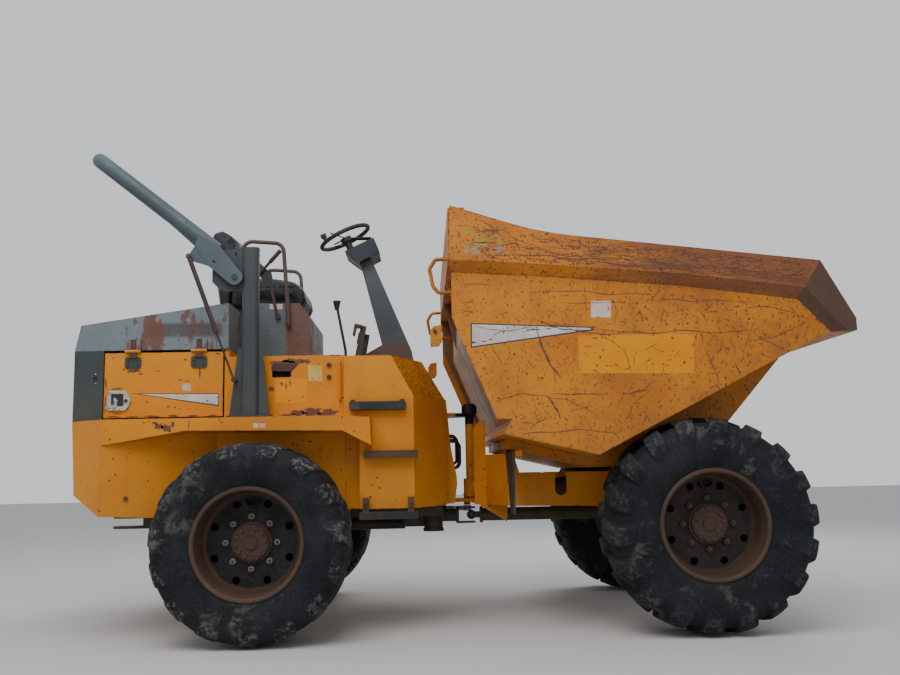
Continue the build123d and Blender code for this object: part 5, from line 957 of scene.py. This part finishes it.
# Flakes: places where the paint has lifted off in ragged patches, on the tank side, along the door's
# lower edge, on the shelf and by the hinges, down to brown steel as in the scores.
FLAKE_SIDES = 56
ON_SIDE, ON_FILM, ON_SHELF = BODY_SIDE + 2 * LAYER, BODY_SIDE + 7 * LAYER, SHELF_SIDE + 3 * LAYER
FLAKES = (
    # body, patches: x, z, y, half width, half height, seed
    ("rear_frame", (
        (-1.000, 1.524, ON_SIDE, 0.062, 0.012, 1.0), (-0.935, 1.530, ON_SIDE, 0.050, 0.016, 2.2),
        (-0.862, 1.527, ON_SIDE, 0.030, 0.010, 3.9), (-0.905, 1.232, ON_SIDE, 0.050, 0.013, 4.4),
        (-0.830, 1.236, ON_SIDE, 0.060, 0.020, 5.1), (-0.745, 1.224, ON_SIDE, 0.058, 0.024, 6.0),
        (-0.960, 1.222, ON_SIDE, 0.040, 0.007, 7.3), (-1.058, 1.372, ON_SIDE, 0.014, 0.016, 8.1),
        (-1.000, 1.400, ON_FILM, 0.006, 0.012, 9.0), (-0.975, 1.385, ON_FILM, 0.005, 0.016, 9.9),
        (-0.952, 1.405, ON_FILM, 0.005, 0.014, 3.1), (-1.640, 1.160, ON_SHELF, 0.020, 0.017, 1.4),
        (-1.600, 1.150, ON_SHELF, 0.024, 0.022, 2.5), (-1.660, 1.178, ON_SHELF, 0.016, 0.008, 3.6),
        (-1.565, 1.170, ON_SHELF, 0.012, 0.012, 4.7), (-1.478, 1.168, ON_SHELF, 0.004, 0.020, 5.8),
        (-1.300, 1.176, ON_SHELF, 0.006, 0.005, 6.9), (-0.700, 1.560, ON_SIDE, 0.030, 0.004, 2.0),
    )),
    ("door", (
        (-1.840, 1.487, ON_SIDE, 0.030, 0.010, 1.1), (-1.800, 1.470, ON_SIDE, 0.010, 0.006, 2.1),
        (-1.700, 1.485, ON_SIDE, 0.012, 0.003, 3.1), (-1.466, 1.476, ON_SIDE, 0.006, 0.030, 4.1),
        (-1.575, 1.432, ON_SIDE, 0.018, 0.003, 5.1), (-1.535, 1.425, ON_SIDE, 0.016, 0.003, 6.1),
        (-1.930, 1.388, ON_SIDE, 0.028, 0.006, 7.1), (-1.925, 1.246, ON_SIDE, 0.020, 0.004, 8.1),
        (-1.945, 1.228, ON_SIDE, 0.035, 0.005, 9.1), (-1.840, 1.227, ON_SIDE, 0.030, 0.004, 1.9),
        (-1.730, 1.228, ON_SIDE, 0.040, 0.005, 2.9), (-1.610, 1.228, ON_SIDE, 0.030, 0.006, 3.9),
        (-1.500, 1.227, ON_SIDE, 0.034, 0.004, 4.9), (-1.390, 1.227, ON_SIDE, 0.024, 0.004, 5.9),
        (-1.640, 1.280, ON_SIDE, 0.006, 0.006, 6.9), (-1.575, 1.268, ON_SIDE, 0.004, 0.005, 7.9),
        (-1.365, 1.580, ON_SIDE, 0.012, 0.006, 8.9), (-1.550, 1.548, ON_SIDE, 0.008, 0.005, 9.9),
        (-1.995, 1.420, ON_SIDE, 0.005, 0.030, 3.3), (-1.996, 1.300, ON_SIDE, 0.004, 0.040, 5.5),
    )),
)


def flake_patches(name, patches, side):
    """Each patch is a fan round its middle; its reach changes with the angle as a sum of sines."""
    patches = np.asarray(patches, float)
    angle = np.linspace(0.0, 2.0 * np.pi, FLAKE_SIDES, endpoint=False)
    seed = patches[:, 5:6]
    reach = 1.0 + 0.22 * np.sin(2 * angle + seed) + 0.17 * np.sin(5 * angle + 2.1 * seed)
    reach = reach + 0.13 * np.sin(9 * angle + 3.7 * seed) + 0.10 * np.sin(17 * angle + 5.3 * seed)
    x = patches[:, 0:1] + reach * np.cos(angle) * patches[:, 3:4]
    z = patches[:, 1:2] + reach * np.sin(angle) * patches[:, 4:5]
    y = np.broadcast_to(side * patches[:, 2:3], x.shape)
    ring = np.stack([x, y, z], axis=-1)
    middle = np.stack([patches[:, 0], side * patches[:, 2], patches[:, 1]], axis=-1)[:, None]
    points = np.concatenate([middle, ring], axis=1)
    base = np.arange(len(patches))[:, None] * (FLAKE_SIDES + 1)
    j = np.arange(FLAKE_SIDES)[None]
    hub = np.broadcast_to(base, (len(patches), FLAKE_SIDES))
    faces = np.stack([hub, base + 1 + j, base + 1 + (j + 1) % FLAKE_SIDES], axis=-1).reshape(-1, 3)
    return quad_mesh(name, points.reshape(-1, 3), faces[:, ::-side])


for half, side in HALVES:
    for body, patches in FLAKES:
        piece = flake_patches(f"flakes_{body}_{half}", patches, side)
        fit(piece, bare_score, f"door_{half}" if body == "door" else body)


# Door fittings: slate hinge plates on four bolts each, rusty straps up to the hood, and a plated
# paddle latch over a shallow dish, all bolted or riveted to the pressed door.
HINGES_X = (-1.844, -1.470)
HINGE_BOLTS = ((-0.028, 1.548), (0.026, 1.550), (0.026, 1.520), (-0.028, 1.519))
HINGE_STRAP = ((-0.021, 1.560), (0.021, 1.560), (0.019, 1.592), (0.027, 1.594), (0.027, 1.604),
               (-0.027, 1.604), (-0.027, 1.594), (-0.019, 1.592))
LATCH_PLATE = ((-1.974, 1.262), (-1.882, 1.262), (-1.862, 1.285), (-1.850, 1.318), (-1.862, 1.350),
               (-1.882, 1.374), (-1.974, 1.374), (-1.980, 1.366), (-1.980, 1.270))
LATCH_PADDLE = ((-1.990, 1.272), (-1.926, 1.282), (-1.922, 1.318), (-1.934, 1.334), (-1.944, 1.334),
                (-1.942, 1.300), (-1.990, 1.286))
PLATE_FOOT = BODY_SIDE - 0.0005


def plate(name, outline, inner, outer, bevel=0.0012):
    """An upright plate: its outline in x and z carried from y inner to y outer, edges broken."""
    flat = np.asarray(outline, float)
    count = len(flat)
    both = np.concatenate([flat, flat])
    points = np.stack([both[:, 0], np.repeat([inner, outer], count), both[:, 1]], axis=-1)
    i = np.arange(count)
    sides = np.stack([i, (i + 1) % count, (i + 1) % count + count, i + count], axis=-1)
    mesh = bpy.data.meshes.new(name)
    mesh.from_pydata(points.tolist(), [], [i[::-1].tolist(), (i + count).tolist(), *sides.tolist()])
    shell = bmesh.new()
    shell.from_mesh(mesh)
    bmesh.ops.recalc_face_normals(shell, faces=shell.faces)
    shell.to_mesh(mesh)
    shell.free()
    piece = bpy.data.objects.new(name, mesh)
    bpy.context.scene.collection.objects.link(piece)
    if bevel:
        broken = piece.modifiers.new("broken_edges", "BEVEL")
        broken.width = bevel
        broken.segments = 2
    return piece


def rounded(x0, z0, x1, z1, radius):
    """The outline of a rectangle with quarter rounds at its corners, four points each."""
    turn = np.linspace(0.0, 0.5 * np.pi, 4)
    corner = np.array([(x1 - radius, z1 - radius), (x0 + radius, z1 - radius), (x0 + radius, z0 + radius),
                       (x1 - radius, z0 + radius)])
    start = np.arange(4)[:, None] * 0.5 * np.pi + turn
    return (corner[:, None] + radius * np.stack([np.cos(start), np.sin(start)], axis=-1)).reshape(-1, 2)


zinc = plated("zinc", (0.50, 0.52, 0.54), (0.26, 0.25, 0.24), (40.0, 0.45), (70.0, 0.28, 0.55), 0.7)
for half, side in HALVES:
    door = f"door_{half}"
    for number, x in enumerate(HINGES_X):
        mount = plate(f"hinge_plate_{number}_{half}", rounded(x - 0.046, 1.499, x + 0.046, 1.568, 0.016),
                      side * PLATE_FOOT, side * 0.8045)
        fit(mount, post_grey, door)
        spots = [(x + ahead, side * 0.8043, z) for ahead, z in HINGE_BOLTS]
        bolts = bolt_heads(f"hinge_bolts_{number}_{half}", spots, (0, side, 0), 0.013, 0.006)
        fit(bolts, rusty_iron, door)
        strap = plate(f"hinge_strap_{number}_{half}", np.add(HINGE_STRAP, (x, 0.0)), side * 0.8085,
                      side * 0.8135)
        fit(strap, rusty_iron, door)
        tongue = plate(f"hinge_tongue_{number}_{half}", rounded(x - 0.013, 1.612, x + 0.013, 1.668, 0.005),
                       side * 0.7985, side * 0.8035)
        fit(tongue, rusty_iron, "rear_frame")
    latch = plate(f"latch_plate_{half}", LATCH_PLATE, side * PLATE_FOOT, side * 0.8078, 0.002)
    fit(latch, zinc, door)
    dish = plate(f"latch_dish_{half}", rounded(-1.960, 1.288, -1.890, 1.358, 0.006), side * 0.8070,
                 side * 0.8084, 0)
    fit(dish, greasy_dark, door)
    paddle = plate(f"latch_paddle_{half}", LATCH_PADDLE, side * 0.8082, side * 0.8132, 0.0015)
    fit(paddle, zinc, door)
    lock = bolt_heads(f"latch_lock_{half}", [(-1.876, side * 0.8076, 1.318)], (0, side, 0), 0.020, 0.004, 24)
    fit(lock, greasy_dark, door)


# Tank side and tail: a rusty pressed flap hangs over the hand slot and two rubber plugs close the
# filler's vents; further back are the cooler housing's round lock, a dark disc set just inside the
# louvres that is also painted shade where light would come through them, and one bolt through the tail.
SLOT_FLAP = ((-1.057, 1.474), (-0.946, 1.470), (-0.900, 1.516), (-1.045, 1.518), (-1.060, 1.500))
PLUGS_X, PLUGS_Z = -0.730, (1.503, 1.434)
TAIL_LOOK = (0.373, 0.928)
for half, side in HALVES:
    flap = plate(f"slot_flap_{half}", SLOT_FLAP, side * PLATE_FOOT, side * 0.8005, 0.0008)
    fit(flap, rusty_iron, "rear_frame")
    spots = [(PLUGS_X, side * 0.8048, z) for z in PLUGS_Z]
    plugs = bolt_heads(f"vent_plugs_{half}", spots, (0, side, 0), 0.024, 0.006, 20)
    fit(plugs, old_rubber, "rear_frame")
    # the lock's dark disc also stands as painted shade behind the louvres
    lock = bolt_heads(f"cooler_lock_shade_{half}", [(-2.055, side * 0.7845, 1.446)], (0, side, 0), 0.026, 0.006, 24)
    fit(lock, greasy_dark, "rear_frame")
    outward = (TAIL_LOOK[0], side * TAIL_LOOK[1], 0)
    tail = bolt_heads(f"tail_bolt_{half}", [(-1.826, side * 0.9282, 0.774)], outward, 0.026, 0.012)
    fit(tail, rusty_iron, "rear_frame")


# Skip's back: a small lug of orange plate on each side, welded on for the chain that holds the skip
# down on the road, with a rusty bolt through it.
SKIP_LUG = ((-0.148, 1.580), (-0.100, 1.584), (-0.082, 1.612), (-0.082, 1.707), (-0.130, 1.700),
            (-0.148, 1.668))
for half, side in HALVES:
    lug = plate(f"skip_lug_{half}", SKIP_LUG, side * 0.918, side * 0.930, 0.002)
    fit(lug, skip_orange, "skip")
    bolt = bolt_heads(f"lug_bolt_{half}", [(-0.120, side * 0.9295, 1.668)], (0, side, 0), 0.024, 0.010)
    fit(bolt, rusty_iron, "skip")


# Steps: cleats of dark rubber over the outer edges of the top and bottom treads, the middle one bare
# and rusty. The treads are held by rusty bolts, on top and at the ends of the lowest one.
TREADS = (
    # name, rear x, front x, top, height of its edge
    ("top", -0.605, -0.295, 1.281, 0.045),
    ("low", -0.554, -0.232, 0.669, 0.038),
)
TREAD_REACH = 0.046
PAD_LAP = 0.003
TREAD_BOLTS_X, TREAD_BOLTS_Z = (-0.590, -0.312), 1.2800
STEP_BOLTS = ((-0.520, 0.722), (-0.520, 0.700), (-0.270, 0.722), (-0.270, 0.700))
for half, side in HALVES:
    for name, rear, front, top, drop in TREADS:
        outline = rounded(rear - PAD_LAP, top - drop - 0.002, front + PAD_LAP, top + 0.002, 0.008)
        pad = plate(f"step_pad_{name}_{half}", outline, side * (DECK_SIDE + 0.004),
                    side * (DECK_SIDE + TREAD_REACH + PAD_LAP), 0.003)
        fit(pad, old_rubber, "rear_frame")
    spots = [(x, side * 0.886, TREAD_BOLTS_Z) for x in TREAD_BOLTS_X]
    bolts = bolt_heads(f"tread_bolts_{half}", spots, (0, 0, 1), 0.026, 0.014)
    fit(bolts, rusty_iron, "rear_frame")
    spots = [(x, side * 0.906, z) for x, z in STEP_BOLTS]
    bolts = bolt_heads(f"step_bolts_{half}", spots, (0, side, 0), 0.018, 0.009)
    fit(bolts, rusty_iron, "rear_frame")


# Seat: a cushion and a back rest of black vinyl over foam, stretched on pans and seamed. The vinyl is
# cracked dull on top; each is blown up as cloth from its plain form and then creased at its seams.
FACE_SIZE = 0.008
DRAWN_IN, AT_REST = 0.975, 0.995
PRESSURE, BLOW_FRAMES = 4.0, 20
CUSHION_SWELL, BACK_SWELL = 0.016, 0.014
CUSHION_SEAM_Z, CUSHION_CHANNEL_Y = 2.072, 0.150
CUSHION_FRONT, CUSHION_FRONT_REACH, CUSHION_FRONT_DROP = -1.10, 0.20, 0.030
PAN_TOP, CUSHION_TOP = 1.9453, 2.1445
BACK_CHANNELS_Y = (-0.144, -0.048, 0.048, 0.144)
BACK_FOOT_Z, BACK_FOOT_X, CUSHION_REAR_X = 2.148, -1.4203, -1.420


def points_of(mesh):
    """The places of a mesh's vertices, a row each."""
    flat = np.empty(len(mesh.vertices) * 3)
    mesh.vertices.foreach_get("co", flat)
    return flat.reshape(-1, 3)


def blown_up(name, source, most):
    """The source's skin in even faces, drawn in a little and blown up; no point moves beyond most."""
    skin = nodes[source].data.copy()
    shell = bmesh.new()
    shell.from_mesh(skin)
    bmesh.ops.remove_doubles(shell, verts=shell.verts, dist=0.0002)
    shell.to_mesh(skin)
    shell.free()
    piece = bpy.data.objects.new(name, skin)
    bpy.context.scene.collection.objects.link(piece)
    even = piece.modifiers.new("even_faces", "REMESH")
    even.mode = "VOXEL"
    even.voxel_size = FACE_SIZE
    ready = bpy.data.meshes.new_from_object(piece.evaluated_get(bpy.context.evaluated_depsgraph_get()))
    piece.modifiers.clear()
    piece.data = ready
    ready.materials.clear()
    start = points_of(ready)
    middle = 0.5 * (start.min(axis=0) + start.max(axis=0))
    ready.vertices.foreach_set("co", (middle + DRAWN_IN * (start - middle)).ravel())
    ready.update()
    end = middle + AT_REST * (start - middle)
    cloth = piece.modifiers.new("blown", "CLOTH")
    cloth.settings.use_pressure = True
    cloth.settings.uniform_pressure_force = PRESSURE
    cloth.settings.effector_weights.gravity = 0.0
    cloth.settings.quality = 4
    cloth.point_cache.frame_start = 1
    cloth.point_cache.frame_end = BLOW_FRAMES
    for moment in range(1, BLOW_FRAMES + 1):
        bpy.context.scene.frame_set(moment)
    end = points_of(piece.evaluated_get(bpy.context.evaluated_depsgraph_get()).to_mesh())
    piece.modifiers.clear()
    bpy.context.scene.frame_set(1)
    moved = end - start
    reach = np.linalg.norm(moved, axis=1, keepdims=True)
    return piece, start + moved * np.minimum(1.0, most / np.maximum(reach, 1e-9))


def normals_of(piece, points):
    """Puts the points into the piece and gives the way that each then faces, a row each."""
    piece.data.vertices.foreach_set("co", points.ravel())
    piece.data.update()
    flat = np.empty(len(points) * 3)
    piece.data.vertices.foreach_get("normal", flat)
    return flat.reshape(-1, 3)


def creased(points, normals, offset, width, depth):
    """Draws points in along their normals near a seam: depth times a bell of that width."""
    return points - normals * (depth * np.exp(-((offset / width) ** 2)))[:, None]


def finished(piece, points):
    """Puts the points back, smooths the shading, adds one level of subdivision and the vinyl."""
    piece.data.vertices.foreach_set("co", points.ravel())
    piece.data.update()
    piece.data.polygons.foreach_set("use_smooth", np.ones(len(piece.data.polygons), bool))
    finer = piece.modifiers.new("finer", "SUBSURF")
    finer.levels = finer.render_levels = 1
    piece.data.materials.append(vinyl)


vinyl, vinyl_tree, vinyl_out, vinyl_place = shader("vinyl")
vinyl_dust = step(vinyl_tree, grain(vinyl_tree, vinyl_place, 8.0, 6.0, 0.7), 0.46, 0.74)
plug(vinyl_tree, vinyl_out, Specular_IOR_Level=0.35,
     Base_Color=mix(vinyl_tree, vinyl_dust, (0.007, 0.008, 0.011), (0.026, 0.026, 0.030)),
     Roughness=step(vinyl_tree, grain(vinyl_tree, vinyl_place, 14.0, 5.0), 0.3, 0.75, 0.46, 0.68))
crackle = wire(vinyl_tree, "ShaderNodeTexVoronoi", {"feature": "DISTANCE_TO_EDGE"}, Vector=vinyl_place,
               Scale=160.0).outputs["Distance"]
dented(vinyl_tree, vinyl_out, 0.25, 0.0008, step(vinyl_tree, crackle, 0.0, 0.12))

cushion, points = blown_up("seat_cushion_pad", "seat_cushion", CUSHION_SWELL)
outward = normals_of(cushion, points)
points = creased(points, outward, points[:, 2] - CUSHION_SEAM_Z, 0.006, 0.006)
points = creased(points, outward, np.abs(points[:, 1]) - CUSHION_CHANNEL_Y, 0.007, 0.007)
frontward = np.clip((points[:, 0] - CUSHION_FRONT) / CUSHION_FRONT_REACH, 0.0, 1.0)
points[:, 0] = np.maximum(points[:, 0] - CUSHION_FRONT_DROP * frontward, CUSHION_REAR_X)
points[:, 2] = np.clip(points[:, 2], PAN_TOP, CUSHION_TOP)
finished(cushion, points)

rest, points = blown_up("seat_back_pad", "seat_back", BACK_SWELL)
outward = normals_of(rest, points)
for channel in BACK_CHANNELS_Y:
    points = creased(points, outward, points[:, 1] - channel, 0.006, 0.008)
at_foot = points[:, 2] < BACK_FOOT_Z
points[:, 0] = np.where(at_foot, np.minimum(points[:, 0], BACK_FOOT_X), points[:, 0])
points[:, 2] = np.maximum(points[:, 2], PAN_TOP)
finished(rest, points)

for pad, source in ((cushion, "seat_cushion"), (rest, "seat_back")):
    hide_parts(source)
    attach(pad, "rear_frame")
